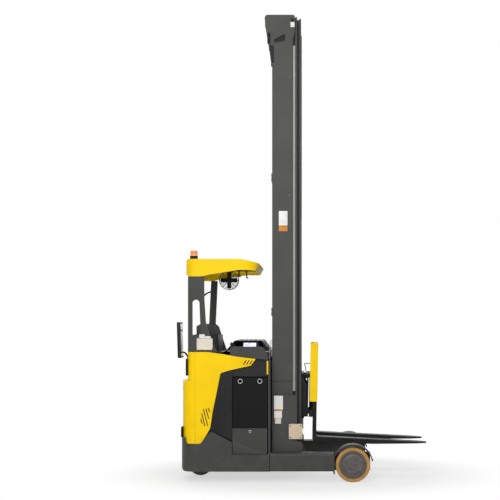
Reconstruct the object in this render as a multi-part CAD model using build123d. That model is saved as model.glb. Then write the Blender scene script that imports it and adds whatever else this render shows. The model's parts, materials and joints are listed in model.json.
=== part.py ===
from build123d import *
import os
from math import cos, radians, sin

# A stand-on electric reach truck, forks a little raised, mast drawn back.
# Millimetres. +X is towards the fork tips, +Y is the driver's left, +Z is up.
# The origin lies on the floor, under the middle of the truck.

# Overall plan and the two straddle arms
HALF_WIDTH = 635.0
REAR_X = -1240.0
BODY_FRONT_X = -324.0
BELLY_Z = 110.0
PLATE = 12.0
ARM_TOP_Z = 296.0
ARM_INNER_Y = 475.0
ARM_BOX_END_X = 330.0
ARM_TIP_X = 705.0
ARM_TIP_TOP_Z = 283.0
WEB_OUTER_Y = 518.0
CHANNEL_LIP = 15.0
ARM_EDGE_RADIUS = 22.0

# Load wheels and their guards
WHEEL_X = 523.0
WHEEL_RADIUS = 177.5
WHEEL_INNER_Y = 524.0
WHEEL_OUTER_Y = 630.0
TYRE_BAND = 33.0
AXLE_RADIUS = 30.0
FENDER_GAP = 21.5
FENDER_PLATE = 12.0
FENDER_FROM_DEG = 11.0
FENDER_TO_DEG = 151.0

# Drive wheel, its steered gearbox and motor
DRIVE_X = -1086.0
DRIVE_Y = -110.0
DRIVE_RADIUS = 127.0
DRIVE_WIDTH = 96.0
DRIVE_TYRE_BAND = 22.0
STEER_CLEAR_RADIUS = 148.0
TURNTABLE_RADIUS = 118.0
TURNTABLE_Z = 264.0
TURNTABLE_HEIGHT = 26.0
DRIVE_AXLE_RADIUS = 22.0
GEARBOX_WIDTH = 46.0
GEARBOX_LENGTH = 116.0
MOTOR_RADIUS = 105.0
MOTOR_HEIGHT = 330.0

# Lower body outline, as (x, z) pairs from the rear along the top edge
BASE_CORNER_RADIUS = 150.0
BASE_HEEL_RADIUS = 45.0
BASE_REAR_TOP_Z = 454.0
BASE_PEAK = (-930.0, 523.0)
BASE_TOP = [
    (-1190.0, 454.0),
    (-1178.0, 393.0),
    (-1035.0, 393.0),
    BASE_PEAK,
    (-716.0, 413.0),
    (-405.0, 311.0),
    (-354.0, 296.0),
]

# Driver's place and the housing beside it
WALL_Y = 45.0
WALL_PLATE = 10.0
BAY_WALL_X = -722.0
FLOOR_Z = 262.0
FLOOR_PLATE = 12.0
MAT_THICKNESS = 8.0

# Battery and its bay
BATTERY_REAR_X = -706.0
BATTERY_FRONT_X = -350.0
BATTERY_FLOOR_Z = 285.0
BATTERY_TOP_Z = 1070.0
BATTERY_HALF_WIDTH = 611.0
BAY_FRONT_X = -344.0
EYE_X = (-628.0, -428.0)
EYE_Z = 1032.0
EYE_RADIUS = 26.0
EYE_HOLE_RADIUS = 15.0
LOCK_TOP_Z = 551.0

# Cladding
PANEL_Y = HALF_WIDTH - PLATE - 0.3
PANEL_PLATE = 14.0
SEAM_X = REAR_X + BASE_CORNER_RADIUS
COVER_REAR_LOW_X = REAR_X + PLATE + 0.3
COVER_FOOT_Z = 385.0
COVER_REAR_HIGH_X = -1171.0
COVER_STEP_Z = 1035.0
COVER_TOP_Z = 1330.0
UPPER_DECK_TOP_Z = 1330.0
COWL_FRONT_X = BAY_FRONT_X

# Overhead guard and its two pillars
GUARD_REAR_X = -1190.0
GUARD_FRONT_X = -445.0
GUARD_TOP_Z = 2283.0
GUARD_LOW_Z = 2104.0
GUARD_HALF_WIDTH = 605.0
GUARD_BAND = 42.0
PILLAR_OUTER_Y = -598.0
PILLAR_THICKNESS = 46.0
FAR_POST_Y = 560.0
FAR_POST_DEPTH = 46.0

# Mast rails: each stage nests inside the one before
MAST_TOP_Z = 4829.0
MAST_FOOT_Z = 262.0
RAIL_DEPTH = 216.0
RAIL_WEB = 12.0
RAIL_FLANGE = 18.0
STAGE_OFFSET_X = 42.0
STAGE_GAP = 6.0
OUTER_REAR_X = -310.0
OUTER_WEB_Y = 435.0
FLANGE_REACH = 42.0
MAST_STROKE = 3600.0

# Reach carriage
CARRIAGE_REAR_X = -307.0
CARRIAGE_FRONT_X = -52.0
CARRIAGE_TOP_Z = 883.0
CARRIAGE_LOW_Z = 150.0
CARRIAGE_INNER_Y = 440.0
CARRIAGE_OUTER_Y = 465.0
ROLLER_RADIUS = 73.0
ROLLER_Z = 203.0
ROLLER_X = (-232.0, -48.0)
ROLLER_GAP = 0.3

# Cylinders
LIFT_BARREL_RADIUS = 30.0
LIFT_BORE_RADIUS = 24.0
LIFT_ROD_RADIUS = 19.0
LIFT_Y = 215.0
LIFT_X = -280.0
LIFT_BARREL_TOP_Z = 4240.0
FREE_X = -80.0
FREE_BARREL_RADIUS = 42.0
FREE_BORE_RADIUS = 33.0
FREE_ROD_RADIUS = 28.0
FREE_BARREL_TOP_Z = 2560.0
SHEAVE_RADIUS = 55.0
SHEAVE_Z = 2750.0
CHAIN_Y = 95.0
CHAIN_WIDTH = 26.0
CHAIN_THICKNESS = 15.0
REACH_CYLINDER_Y = 220.0
REACH_CYLINDER_Z = 205.0
ROD_GAP = 0.3

# Fork carriage, tilt frame and side shift
LIFT_PLATE_Y = (235.0, 255.0)
LIFT_PLATE_X = (-185.0, 20.0)
CROSSBAR_X = (-5.0, 20.0)
CROSSBAR_LOW_Z = (620.0, 700.0)
CROSSBAR_HIGH_Z = (1025.0, 1095.0)
HINGE_X = 42.0
HINGE_Z = 1060.0
HINGE_RADIUS = 11.0
TILT_PLATE_X = (52.0, 68.0)
TILT_PLATE_Z = (640.0, 1095.0)
TILT_HALF_WIDTH = 290.0
SHIFT_BAR_X = (77.0, 117.7)
SHIFT_HALF_WIDTH = 318.0
LEAN_DEG = 1.0

# Forks
FORK_Y = 220.0
FORK_WIDTH = 120.0
SHANK_REAR_X = 118.0
SHANK_FRONT_X = 160.0
SHANK_TOP_Z = 1065.0
FORK_TIP_X = 1326.5

parts = {}


def block(x, y, z):
    """A box between the given pairs of X, Y and Z."""
    centre = ((x[0] + x[1]) / 2, (y[0] + y[1]) / 2, (z[0] + z[1]) / 2)
    size = (abs(x[1] - x[0]), abs(y[1] - y[0]), abs(z[1] - z[0]))
    return Pos(*centre) * Box(*size)


def side_plate(points, y, radius=0):
    """A plate whose outline is drawn in side view, between two Y values."""
    corners = [(x, y[0], z) for x, z in points]
    if radius:
        outline = FilletPolyline(*corners, radius=radius, close=True)
    else:
        outline = Polyline(*corners, close=True)
    return extrude(make_face(outline), amount=y[1] - y[0], dir=(0, 1, 0))


def plan_plate(points, z, radius=0):
    """A plate whose outline is drawn in plan, between two Z values."""
    corners = [(x, y, z[0]) for x, y in points]
    if radius:
        outline = FilletPolyline(*corners, radius=radius, close=True)
    else:
        outline = Polyline(*corners, close=True)
    return extrude(make_face(outline), amount=z[1] - z[0], dir=(0, 0, 1))


def bar_y(x, z, radius, y):
    """A round bar along Y."""
    return Pos(x, (y[0] + y[1]) / 2, z) * Rot(90, 0, 0) * Cylinder(radius, abs(y[1] - y[0]))


def bar_x(y, z, radius, x):
    """A round bar along X."""
    return Pos((x[0] + x[1]) / 2, y, z) * Rot(0, 90, 0) * Cylinder(radius, abs(x[1] - x[0]))


def bar_z(x, y, radius, z):
    """A round bar along Z."""
    return Pos(x, y, (z[0] + z[1]) / 2) * Cylinder(radius, abs(z[1] - z[0]))


def other_side(shape):
    """The same shape on the other side of the truck."""
    return mirror(shape, about=Plane.XZ)


def both_sides(shape):
    """A right-hand shape, which lies at negative Y, and its left-hand twin."""
    return shape + other_side(shape)


# Lower body: rounded tub with battery bay, drive space and driver's footwell
def chassis_base():
    inner = HALF_WIDTH - PLATE
    top = 560.0
    outline = [(REAR_X, -HALF_WIDTH), (BODY_FRONT_X, -HALF_WIDTH), (BODY_FRONT_X, HALF_WIDTH), (REAR_X, HALF_WIDTH)]
    radii = [BASE_CORNER_RADIUS, 18.0, 18.0, BASE_CORNER_RADIUS]
    tub = plan_plate(outline, (BELLY_Z, top), radii)
    side = [(REAR_X, BELLY_Z), (REAR_X, BASE_REAR_TOP_Z)] + BASE_TOP + [(BODY_FRONT_X, ARM_TOP_Z), (BODY_FRONT_X, BELLY_Z)]
    side_radii = [BASE_HEEL_RADIUS, 0, 0, 12.0, 40.0, 22.0, 30.0, 30.0, 0, 0, 0]
    tub = tub & side_plate(side, (-HALF_WIDTH - 1, HALF_WIDTH + 1), side_radii)
    rear_inside = REAR_X + PLATE
    well = [
        (rear_inside, -inner),
        (BAY_WALL_X, -inner),
        (BAY_WALL_X, WALL_Y),
        (rear_inside, WALL_Y),
    ]
    tub -= plan_plate(well, (BELLY_Z + PLATE, top), [BASE_CORNER_RADIUS - PLATE, 0, 0, 0])
    footwell = [
        (rear_inside, WALL_Y + WALL_PLATE),
        (BAY_WALL_X, WALL_Y + WALL_PLATE),
        (BAY_WALL_X, inner),
        (rear_inside, inner),
    ]
    tub -= plan_plate(footwell, (BELLY_Z + PLATE, top), [0, 0, 0, BASE_CORNER_RADIUS - PLATE])
    entrance = ((REAR_X - 1, BAY_WALL_X), (WALL_Y + WALL_PLATE, HALF_WIDTH - BASE_CORNER_RADIUS))
    tub -= block(entrance[0], entrance[1], (FLOOR_Z, top))
    bay = ((BAY_WALL_X + WALL_PLATE, BAY_FRONT_X), (-HALF_WIDTH - 1, HALF_WIDTH + 1))
    tub -= block(bay[0], bay[1], (BATTERY_FLOOR_Z, top))
    under = ((BAY_WALL_X + WALL_PLATE, BAY_FRONT_X), (-inner, inner))
    tub -= block(under[0], under[1], (BELLY_Z + PLATE, BATTERY_FLOOR_Z - 15.0))
    tub -= bar_z(DRIVE_X, DRIVE_Y, STEER_CLEAR_RADIUS, (BELLY_Z - 1, BELLY_Z + PLATE + 1))
    tub -= bar_x(REACH_CYLINDER_Y, REACH_CYLINDER_Z, 36.3, (BAY_WALL_X - 1, BODY_FRONT_X + 1))
    carrier_z = TURNTABLE_Z + TURNTABLE_HEIGHT
    tub += block((rear_inside + 2, BAY_WALL_X), (-inner + 120, WALL_Y), (carrier_z, carrier_z + PLATE))
    tub += block((BAY_FRONT_X, BODY_FRONT_X), (-600.0, 600.0), (ARM_TOP_Z - 20, 1245.0))
    return tub


# Straddle arm: box section with a roller channel on its inner side
def wheel_arm():
    box_points = [
        (BODY_FRONT_X, BELLY_Z),
        (BODY_FRONT_X, ARM_TOP_Z),
        (ARM_BOX_END_X, ARM_TOP_Z),
        (ARM_BOX_END_X, BELLY_Z),
    ]
    arm = side_plate(box_points, (-HALF_WIDTH, -ARM_INNER_Y))
    outer_edges = arm.edges().filter_by(Axis.X).sort_by(Axis.Y)[0:2]
    arm = fillet(outer_edges, ARM_EDGE_RADIUS)
    hollow = ((BODY_FRONT_X + PLATE, ARM_BOX_END_X - PLATE), (-HALF_WIDTH + PLATE, -WEB_OUTER_Y))
    arm -= block(hollow[0], hollow[1], (BELLY_Z + PLATE, ARM_TOP_Z - PLATE))
    arm += block((ARM_BOX_END_X, ARM_TIP_X), (-WEB_OUTER_Y, -ARM_INNER_Y), (BELLY_Z, ARM_TIP_TOP_Z + 13))
    channel_z = (ROLLER_Z - ROLLER_RADIUS - ROLLER_GAP, ROLLER_Z + ROLLER_RADIUS + 3)
    web = 12.0
    channel_y = (-WEB_OUTER_Y + web, -ARM_INNER_Y + 1)
    arm -= block((BODY_FRONT_X + PLATE, ARM_TIP_X - PLATE), channel_y, channel_z)
    scraper_y = (-HALF_WIDTH + ARM_EDGE_RADIUS + 2, -WEB_OUTER_Y + 4)
    arm += block((ARM_BOX_END_X - 6, ARM_BOX_END_X + 9), scraper_y, (80.0, ARM_TOP_Z - ARM_EDGE_RADIUS))
    arm += bar_y(WHEEL_X, WHEEL_RADIUS, AXLE_RADIUS, (-WHEEL_OUTER_Y + 24, -WEB_OUTER_Y))
    return arm


# Guard over a load wheel
def wheel_fender():
    inner = WHEEL_RADIUS + FENDER_GAP
    outer = inner + FENDER_PLATE
    ring = bar_y(WHEEL_X, WHEEL_RADIUS, outer, (-HALF_WIDTH, -WEB_OUTER_Y))
    ring -= bar_y(WHEEL_X, WHEEL_RADIUS, inner, (-HALF_WIDTH - 1, -WEB_OUTER_Y + 1))
    reach = 2 * outer
    fan = [(WHEEL_X, WHEEL_RADIUS)]
    steps = 8
    for step in range(steps + 1):
        turn = radians(FENDER_FROM_DEG + (FENDER_TO_DEG - FENDER_FROM_DEG) * step / steps)
        fan.append((WHEEL_X + reach * cos(turn), WHEEL_RADIUS + reach * sin(turn)))
    ring = ring & side_plate(fan, (-HALF_WIDTH - 1, -WEB_OUTER_Y + 1))
    return ring


def load_tyre():
    tyre = bar_y(WHEEL_X, WHEEL_RADIUS, WHEEL_RADIUS, (-WHEEL_OUTER_Y, -WHEEL_INNER_Y))
    tyre = fillet(tyre.edges().filter_by(GeomType.CIRCLE), 8.0)
    bore = WHEEL_RADIUS - TYRE_BAND
    return tyre - bar_y(WHEEL_X, WHEEL_RADIUS, bore, (-WHEEL_OUTER_Y - 1, -WHEEL_INNER_Y + 1))


def load_rim():
    rim_radius = WHEEL_RADIUS - TYRE_BAND
    rim = bar_y(WHEEL_X, WHEEL_RADIUS, rim_radius, (-WHEEL_OUTER_Y + 4, -WHEEL_INNER_Y - 4))
    rim -= bar_y(WHEEL_X, WHEEL_RADIUS, rim_radius - 22, (-WHEEL_OUTER_Y - 1, -WHEEL_OUTER_Y + 16))
    rim -= bar_y(WHEEL_X, WHEEL_RADIUS, AXLE_RADIUS + 0.3, (-WHEEL_OUTER_Y + 22, -WHEEL_INNER_Y + 1))
    return rim


# Drive wheel and the gearbox that steers it
def drive_tyre():
    y = (DRIVE_Y - DRIVE_WIDTH / 2, DRIVE_Y + DRIVE_WIDTH / 2)
    tyre = bar_y(DRIVE_X, DRIVE_RADIUS, DRIVE_RADIUS, y)
    tyre = fillet(tyre.edges().filter_by(GeomType.CIRCLE), 6.0)
    return tyre - bar_y(DRIVE_X, DRIVE_RADIUS, DRIVE_RADIUS - DRIVE_TYRE_BAND, (y[0] - 1, y[1] + 1))


def drive_hub():
    y = (DRIVE_Y - DRIVE_WIDTH / 2, DRIVE_Y + DRIVE_WIDTH / 2)
    radius = DRIVE_RADIUS - DRIVE_TYRE_BAND
    hub = bar_y(DRIVE_X, DRIVE_RADIUS, radius, (y[0] + 3, y[1] - 3))
    hub -= bar_y(DRIVE_X, DRIVE_RADIUS, radius - 16, (y[0] - 1, y[0] + 22))
    return hub - bar_y(DRIVE_X, DRIVE_RADIUS, DRIVE_AXLE_RADIUS + ROD_GAP, (DRIVE_Y, y[1] + 1))


def drive_gearbox():
    y0 = DRIVE_Y + DRIVE_WIDTH / 2 + 2.0
    case = block(
        (DRIVE_X - GEARBOX_LENGTH / 2, DRIVE_X + GEARBOX_LENGTH / 2),
        (y0, y0 + GEARBOX_WIDTH),
        (62.0, TURNTABLE_Z),
    )
    case = fillet(case.edges().filter_by(Axis.Y), 30.0)
    table = bar_z(DRIVE_X, DRIVE_Y, TURNTABLE_RADIUS, (TURNTABLE_Z - 4, TURNTABLE_Z + TURNTABLE_HEIGHT - 0.3))
    table -= bar_y(DRIVE_X, DRIVE_RADIUS, DRIVE_RADIUS + 6, (DRIVE_Y - 60, y0))
    axle = bar_y(DRIVE_X, DRIVE_RADIUS, DRIVE_AXLE_RADIUS, (DRIVE_Y + 1, y0 + 1))
    return case + table + axle


def drive_motor():
    z0 = TURNTABLE_Z + TURNTABLE_HEIGHT + PLATE
    return bar_z(DRIVE_X, DRIVE_Y, MOTOR_RADIUS, (z0, z0 + MOTOR_HEIGHT))


# Driver's floor
def platform_floor():
    inner = HALF_WIDTH - PLATE - 1
    outline = [
        (REAR_X + PLATE + 1, WALL_Y + WALL_PLATE + 1),
        (BAY_WALL_X - 1, WALL_Y + WALL_PLATE + 1),
        (BAY_WALL_X - 1, inner),
        (REAR_X + PLATE + 1, inner),
    ]
    radius = BASE_CORNER_RADIUS - PLATE - 1
    plate = plan_plate(outline, (FLOOR_Z - FLOOR_PLATE, FLOOR_Z), [0, 0, 0, radius])
    for x in (-1150.0, -800.0):
        plate += block((x - 6, x + 6), (REACH_CYLINDER_Y + 60, inner - 60), (BELLY_Z + PLATE, FLOOR_Z - FLOOR_PLATE))
    return plate


def floor_mat():
    outline = [
        (REAR_X + 40, WALL_Y + 30),
        (BAY_WALL_X - 30, WALL_Y + 30),
        (BAY_WALL_X - 30, HALF_WIDTH - 50),
        (REAR_X + 40, HALF_WIDTH - 50),
    ]
    return plan_plate(outline, (FLOOR_Z, FLOOR_Z + MAT_THICKNESS), [12.0, 12.0, 12.0, 130.0])


# Battery tray with lifting eyes
def battery():
    tray = block(
        (BATTERY_REAR_X, BATTERY_FRONT_X),
        (-BATTERY_HALF_WIDTH, BATTERY_HALF_WIDTH),
        (BATTERY_FLOOR_Z, BATTERY_TOP_Z),
    )
    inset = 6.0
    tray -= block(
        (BATTERY_REAR_X + inset, BATTERY_FRONT_X - inset),
        (-BATTERY_HALF_WIDTH + inset, BATTERY_HALF_WIDTH - inset),
        (BATTERY_TOP_Z - 70, BATTERY_TOP_Z + 1),
    )
    for x in EYE_X:
        for side in (-1, 1):
            face = side * BATTERY_HALF_WIDTH
            tray += bar_y(x, EYE_Z, EYE_RADIUS, (face, face + side * 5))
            tray -= bar_y(x, EYE_Z, EYE_HOLE_RADIUS, (face - side * 8, face + side * 6))
    return tray


def battery_lock():
    points = [(-708.0, 413.0), (-708.0, LOCK_TOP_Z), (-354.0, LOCK_TOP_Z), (-354.0, 299.0), (-405.0, 314.0)]
    plate = side_plate(points, (-PANEL_Y - 4, -BATTERY_HALF_WIDTH))
    return plate - bar_y(-528.0, 520.0, 10.0, (-PANEL_Y - 5, -PANEL_Y + 4))


# Yellow side panel of the near side, with its forward-swept tip
PANEL_OUTLINE = [
    (SEAM_X + 1, COVER_FOOT_Z),
    (SEAM_X + 1, COVER_TOP_Z),
    (-956.0, COVER_TOP_Z),
    (-819.0, 1310.0),
    (-667.0, 1284.0),
    (-468.0, 1259.0),
    (-523.0, 1190.0),
    (-599.0, 1174.0),
    (-735.0, 1144.0),
    (-830.0, 1115.0),
    (-870.0, 912.0),
    (-912.0, 709.0),
    (-934.0, 557.0),
    (-960.0, 505.0),
    (-1035.0, COVER_FOOT_Z),
]


def side_panel_right():
    radii = [0, 0, 40.0, 0, 0, 6.0, 20.0, 0, 0, 26.0, 0, 0, 20.0, 30.0, 0]
    panel = side_plate(PANEL_OUTLINE, (-PANEL_Y, -PANEL_Y + PANEL_PLATE), radii)
    return panel


def side_infill_right():
    points = [(-1010.0, 470.0), (-935.0, 526.0), (-712.0, 420.0), (-712.0, 1150.0), (-840.0, 1125.0)]
    return side_plate(points, (-PANEL_Y + PANEL_PLATE, -PANEL_Y + PANEL_PLATE + 8))


def side_panel_left():
    points = [
        (SEAM_X + 1, COVER_FOOT_Z),
        (SEAM_X + 1, 1210.0),
        (-730.0, 1250.0),
        (-730.0, COVER_FOOT_Z),
    ]
    return side_plate(points, (PANEL_Y - PANEL_PLATE, PANEL_Y), [0, 60.0, 0, 0])


# Rear cover over the drive unit: a lower bulge and a flatter upper half
def rear_cover():
    def band(rear_x, z):
        outer = [(SEAM_X, -PANEL_Y), (SEAM_X, WALL_Y), (rear_x, WALL_Y), (rear_x, -PANEL_Y)]
        rear_radius = SEAM_X - rear_x
        solid = plan_plate(outer, z, [0, 0, 40.0, rear_radius - 0.5])
        edge = PANEL_PLATE
        inside = [(SEAM_X + 1, -PANEL_Y + edge), (SEAM_X + 1, WALL_Y - edge), (rear_x + edge, WALL_Y - edge), (rear_x + edge, -PANEL_Y + edge)]
        return solid, plan_plate(inside, z, [0, 0, 26.0, rear_radius - edge])

    low, low_hollow = band(COVER_REAR_LOW_X, (COVER_FOOT_Z, COVER_STEP_Z))
    high, high_hollow = band(COVER_REAR_HIGH_X, (COVER_STEP_Z, COVER_TOP_Z))
    lid = 12.0
    low_hollow = low_hollow & block((-1300, 0), (-700, 700), (0, COVER_STEP_Z - lid))
    return low + high - low_hollow - high_hollow


# Inner wall of the drive housing, which the driver leans against
def housing_wall():
    wall = block((SEAM_X + 2, BAY_WALL_X), (WALL_Y - WALL_PLATE, WALL_Y), (420.0, 1320.0))
    rear = COVER_REAR_HIGH_X + PANEL_PLATE + 0.3
    near = -PANEL_Y + PANEL_PLATE + 0.3
    outline = [(rear, near), (-812.0, near), (-812.0, WALL_Y), (SEAM_X + 2, WALL_Y), (SEAM_X + 2, WALL_Y - PANEL_PLATE - 0.3), (rear, WALL_Y - PANEL_PLATE - 0.3)]
    corner = SEAM_X - COVER_REAR_HIGH_X - PANEL_PLATE
    return wall + plan_plate(outline, (1320.0, COVER_TOP_Z), [corner, 0, 0, 0, 0, 26.0])


def backrest_pad():
    points = [(-1160.0, 960.0), (-1160.0, 1625.0), (-900.0, 1625.0), (-823.0, 1330.0), (-823.0, 960.0)]
    return side_plate(points, (WALL_Y + 0.5, WALL_Y + 95.0), [30.0, 60.0, 50.0, 30.0, 30.0])


# Dashboard over the battery
def upper_housing():
    outer = block((-722.0, COWL_FRONT_X), (-598.0, 598.0), (1078.0, UPPER_DECK_TOP_Z))
    inner = block((-712.0, COWL_FRONT_X - 10), (-588.0, 588.0), (1077.0, UPPER_DECK_TOP_Z - 10))
    return outer - inner


def console_hood():
    outer = [(-812.0, 1330.0), (-723.0, 1440.0), (-433.0, 1440.0), (-352.0, 1330.0)]
    hood = side_plate(outer, (-230.0, 590.0), [0, 20.0, 40.0, 0])
    inner = [(-790.0, 1329.0), (-716.0, 1430.0), (-438.0, 1430.0), (-370.0, 1329.0)]
    hood -= side_plate(inner, (-205.0, 580.0))
    slope = Pos(-600.0, -230.0, 1440.0) * Rot(45, 0, 0) * Box(600, 155.6, 155.6)
    return hood - slope + block((-740.0, -352.0), (-170.0, -150.0), (1330.0, 1372.0)) + steering_post()


def console_side_panel():
    points = [(-732.0, 1298.0), (-732.0, 1360.0), (-700.0, 1385.0), (-400.0, 1385.0), (-344.0, 1290.0), (-344.0, 1250.0), (-455.0, 1262.0), (-667.0, 1288.0)]
    return side_plate(points, (-PANEL_Y, -598.0), [0, 30.0, 20.0, 60.0, 30.0, 0, 0, 0])


def display():
    return Pos(-620.0, -175.0, 1385.0) * Rot(45, 0, 0) * Pos(0, 0, 6.3) * Box(190, 100, 12)


def steering_post():
    post = bar_z(-850.0, 330.0, 26.0, (1180.0, 1250.0))
    arm = block((-880.0, -722.0), (300.0, 360.0), (1140.0, 1180.0))
    return arm + post


def steering_wheel():
    rim = Pos(-850.0, 330.0, 1285.0) * Torus(105, 13)
    hub = bar_z(-850.0, 330.0, 32.0, (1250.3, 1290.0))
    for turn in (0, 120, 240):
        spoke = Rot(0, 0, turn) * Pos(62, 0, 0) * Box(80, 22, 10)
        rim += Pos(-850.0, 330.0, 1283.0) * spoke
    return rim + hub


# Overhead guard
def guard_frame():
    plan = [
        (GUARD_REAR_X, -GUARD_HALF_WIDTH),
        (GUARD_FRONT_X, -GUARD_HALF_WIDTH),
        (GUARD_FRONT_X, GUARD_HALF_WIDTH),
        (GUARD_REAR_X, GUARD_HALF_WIDTH),
    ]
    z = (GUARD_LOW_Z - 5, GUARD_TOP_Z + 5)
    ring = plan_plate(plan, z, [90.0, 170.0, 170.0, 90.0])
    b = GUARD_BAND
    inner = [
        (GUARD_REAR_X + b, -GUARD_HALF_WIDTH + b),
        (GUARD_FRONT_X - b, -GUARD_HALF_WIDTH + b),
        (GUARD_FRONT_X - b, GUARD_HALF_WIDTH - b),
        (GUARD_REAR_X + b, GUARD_HALF_WIDTH - b),
    ]
    ring -= plan_plate(inner, z, [50.0, 130.0, 130.0, 50.0])
    profile = [
        (GUARD_REAR_X - 1, 2118.0),
        (GUARD_REAR_X - 1, GUARD_TOP_Z),
        (-620.0, GUARD_TOP_Z),
        (GUARD_FRONT_X + 1, 2243.0),
        (GUARD_FRONT_X + 1, 2228.0),
        (-484.0, 2168.0),
        (-640.0, 2172.0),
        (-941.0, 2125.0),
        (-1023.0, GUARD_LOW_Z),
        (-1140.0, GUARD_LOW_Z),
    ]
    radii = [20.0, 30.0, 200.0, 0, 0, 15.0, 40.0, 0, 40.0, 20.0]
    return ring & side_plate(profile, (-GUARD_HALF_WIDTH - 1, GUARD_HALF_WIDTH + 1), radii)


def guard_bars():
    bars = []
    for y in (-420.0, -315.0, -210.0, -105.0, 0.0, 105.0, 210.0, 315.0, 420.0):
        bars.append(block((GUARD_REAR_X + GUARD_BAND, GUARD_FRONT_X - GUARD_BAND), (y - 8, y + 8), (2205.0, 2245.0)))
    grid = bars[0]
    for bar in bars[1:]:
        grid += bar
    return grid + block((-830.0, -810.0), (-GUARD_HALF_WIDTH + GUARD_BAND, GUARD_HALF_WIDTH - GUARD_BAND), (2205.0, 2245.0))


def guard_pillar_right():
    y = (PILLAR_OUTER_Y, PILLAR_OUTER_Y + PILLAR_THICKNESS)
    outline = [
        (-1165.0, COVER_TOP_Z),
        (-1165.0, GUARD_LOW_Z),
        (-1003.0, GUARD_LOW_Z),
        (-1000.0, 1865.0),
        (-985.0, 1637.0),
        (-940.0, 1470.0),
        (-865.0, COVER_TOP_Z),
    ]
    plate = side_plate(outline, y, [0, 0, 0, 0, 120.0, 60.0, 0])
    slot = [(-1122.0, 1497.0), (-1122.0, 1865.0), (-1049.0, 1865.0), (-1040.0, 1637.0), (-1027.0, 1497.0)]
    plate -= side_plate(slot, (y[0] - 1, y[1] + 1), [20.0, 34.0, 34.0, 60.0, 20.0])
    return plate


def guard_post_left():
    y = (FAR_POST_Y, FAR_POST_Y + FAR_POST_DEPTH)
    outline = [(-1089.0, 1255.0), (-1069.0, 1637.0), (-1047.0, GUARD_LOW_Z), (-974.0, GUARD_LOW_Z), (-996.0, 1637.0), (-1015.0, 1255.0)]
    post = side_plate(outline, y)
    return post + block((-1089.0, -1010.0), (FAR_POST_Y, PANEL_Y - PANEL_PLATE), (COVER_FOOT_Z, 1255.0))


def beacon_base():
    return bar_z(-1112.0, -560.0, 44.0, (GUARD_TOP_Z, GUARD_TOP_Z + 42)) - bar_z(-1112.0, -560.0, 30.0, (GUARD_TOP_Z + 30, GUARD_TOP_Z + 43))


def beacon_lens():
    lens = bar_z(-1112.0, -560.0, 38.0, (GUARD_TOP_Z + 42, GUARD_TOP_Z + 118))
    return fillet(lens.edges().sort_by(Axis.Z)[-1], 12.0)


# Fan under the guard, blowing towards the driver
FAN_X = -785.0
FAN_Y = -100.0
FAN_Z = 2085.0
FAN_RADIUS = 105.0


def fan_cage():
    ring = bar_y(FAN_X, FAN_Z, FAN_RADIUS, (FAN_Y - 35, FAN_Y + 35))
    ring -= bar_y(FAN_X, FAN_Z, FAN_RADIUS - 6, (FAN_Y - 36, FAN_Y + 36))
    motor = bar_y(FAN_X, FAN_Z, 30.0, (FAN_Y + 12, FAN_Y + 40))
    cage = ring + motor
    for turn in range(0, 180, 45):
        spoke = Pos(FAN_X, FAN_Y + 32, FAN_Z) * Rot(0, turn, 0) * Box(2 * FAN_RADIUS - 8, 5, 5)
        cage += spoke
    bracket = block((FAN_X - 12, FAN_X + 12), (FAN_Y - 20, FAN_Y + 20), (FAN_Z + FAN_RADIUS - 3, 2205.0))
    return cage + bracket


def fan_rotor():
    rotor = bar_y(FAN_X, FAN_Z, 24.0, (FAN_Y - 14, FAN_Y + 11.5))
    for turn in range(0, 360, 90):
        blade = Pos(FAN_X, FAN_Y, FAN_Z) * Rot(0, turn, 0) * Pos(52, 0, 0) * Rot(25, 0, 0) * Box(74, 4, 46)
        rotor += blade
    return rotor


def mirror_arm():
    arm = bar_x(-520.0, 1290.0, 11.0, (-1290.0, COVER_REAR_HIGH_X))
    return arm


def rear_mirror():
    return Pos(-1300.0, -500.0, 1440.0) * Box(30, 230, 360) + mirror_arm()


# Mast stages
def rail(stage, foot_z, top_z):
    """One near-side rail: stage 0 is the fixed one, 2 the innermost."""
    rear = OUTER_REAR_X + stage * STAGE_OFFSET_X
    front = rear + RAIL_DEPTH
    step = RAIL_WEB + FLANGE_REACH + STAGE_GAP
    outer_face = OUTER_WEB_Y - stage * step - (3.0 if stage else 0.0)
    web = (-outer_face, -outer_face + RAIL_WEB)
    reach_out = FLANGE_REACH if stage else 0.0
    flange = (web[0] - reach_out, web[1] + FLANGE_REACH)
    z = (foot_z, top_z)
    shape = block((rear, front), web, z)
    shape += block((rear, rear + RAIL_FLANGE), flange, z)
    shape += block((front - RAIL_FLANGE, front), flange, z)
    return shape


def rail_rollers(stage, z_list):
    """Rollers on a moving stage that run behind the front flange of the one outside it."""
    own_rear_flange = OUTER_REAR_X + stage * STAGE_OFFSET_X + RAIL_FLANGE
    track = OUTER_REAR_X + (stage - 1) * STAGE_OFFSET_X + RAIL_DEPTH - RAIL_FLANGE
    radius = (track - own_rear_flange - 2 * ROLLER_GAP) / 2
    outer_face = OUTER_WEB_Y - stage * (RAIL_WEB + FLANGE_REACH + STAGE_GAP) - 3.0
    rollers = [bar_y(track - ROLLER_GAP - radius, z, radius, (-outer_face - FLANGE_REACH + 2, -outer_face)) for z in z_list]
    group = rollers[0]
    for roller in rollers[1:]:
        group += roller
    return both_sides(group)


def outer_mast():
    frame = both_sides(rail(0, MAST_FOOT_Z, MAST_TOP_Z - 40))
    for z in ((300.0, 420.0), (1700.0, 1780.0), (3100.0, 3180.0), (4560.0, 4660.0)):
        tie = block((OUTER_REAR_X - 8, OUTER_REAR_X), (-OUTER_WEB_Y + 5, OUTER_WEB_Y - 5), z)
        for side in (-1, 1):
            tie -= bar_z(LIFT_X, side * LIFT_Y, LIFT_BARREL_RADIUS + 1, (z[0] - 1, z[1] + 1))
        frame += tie
    return frame


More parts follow.
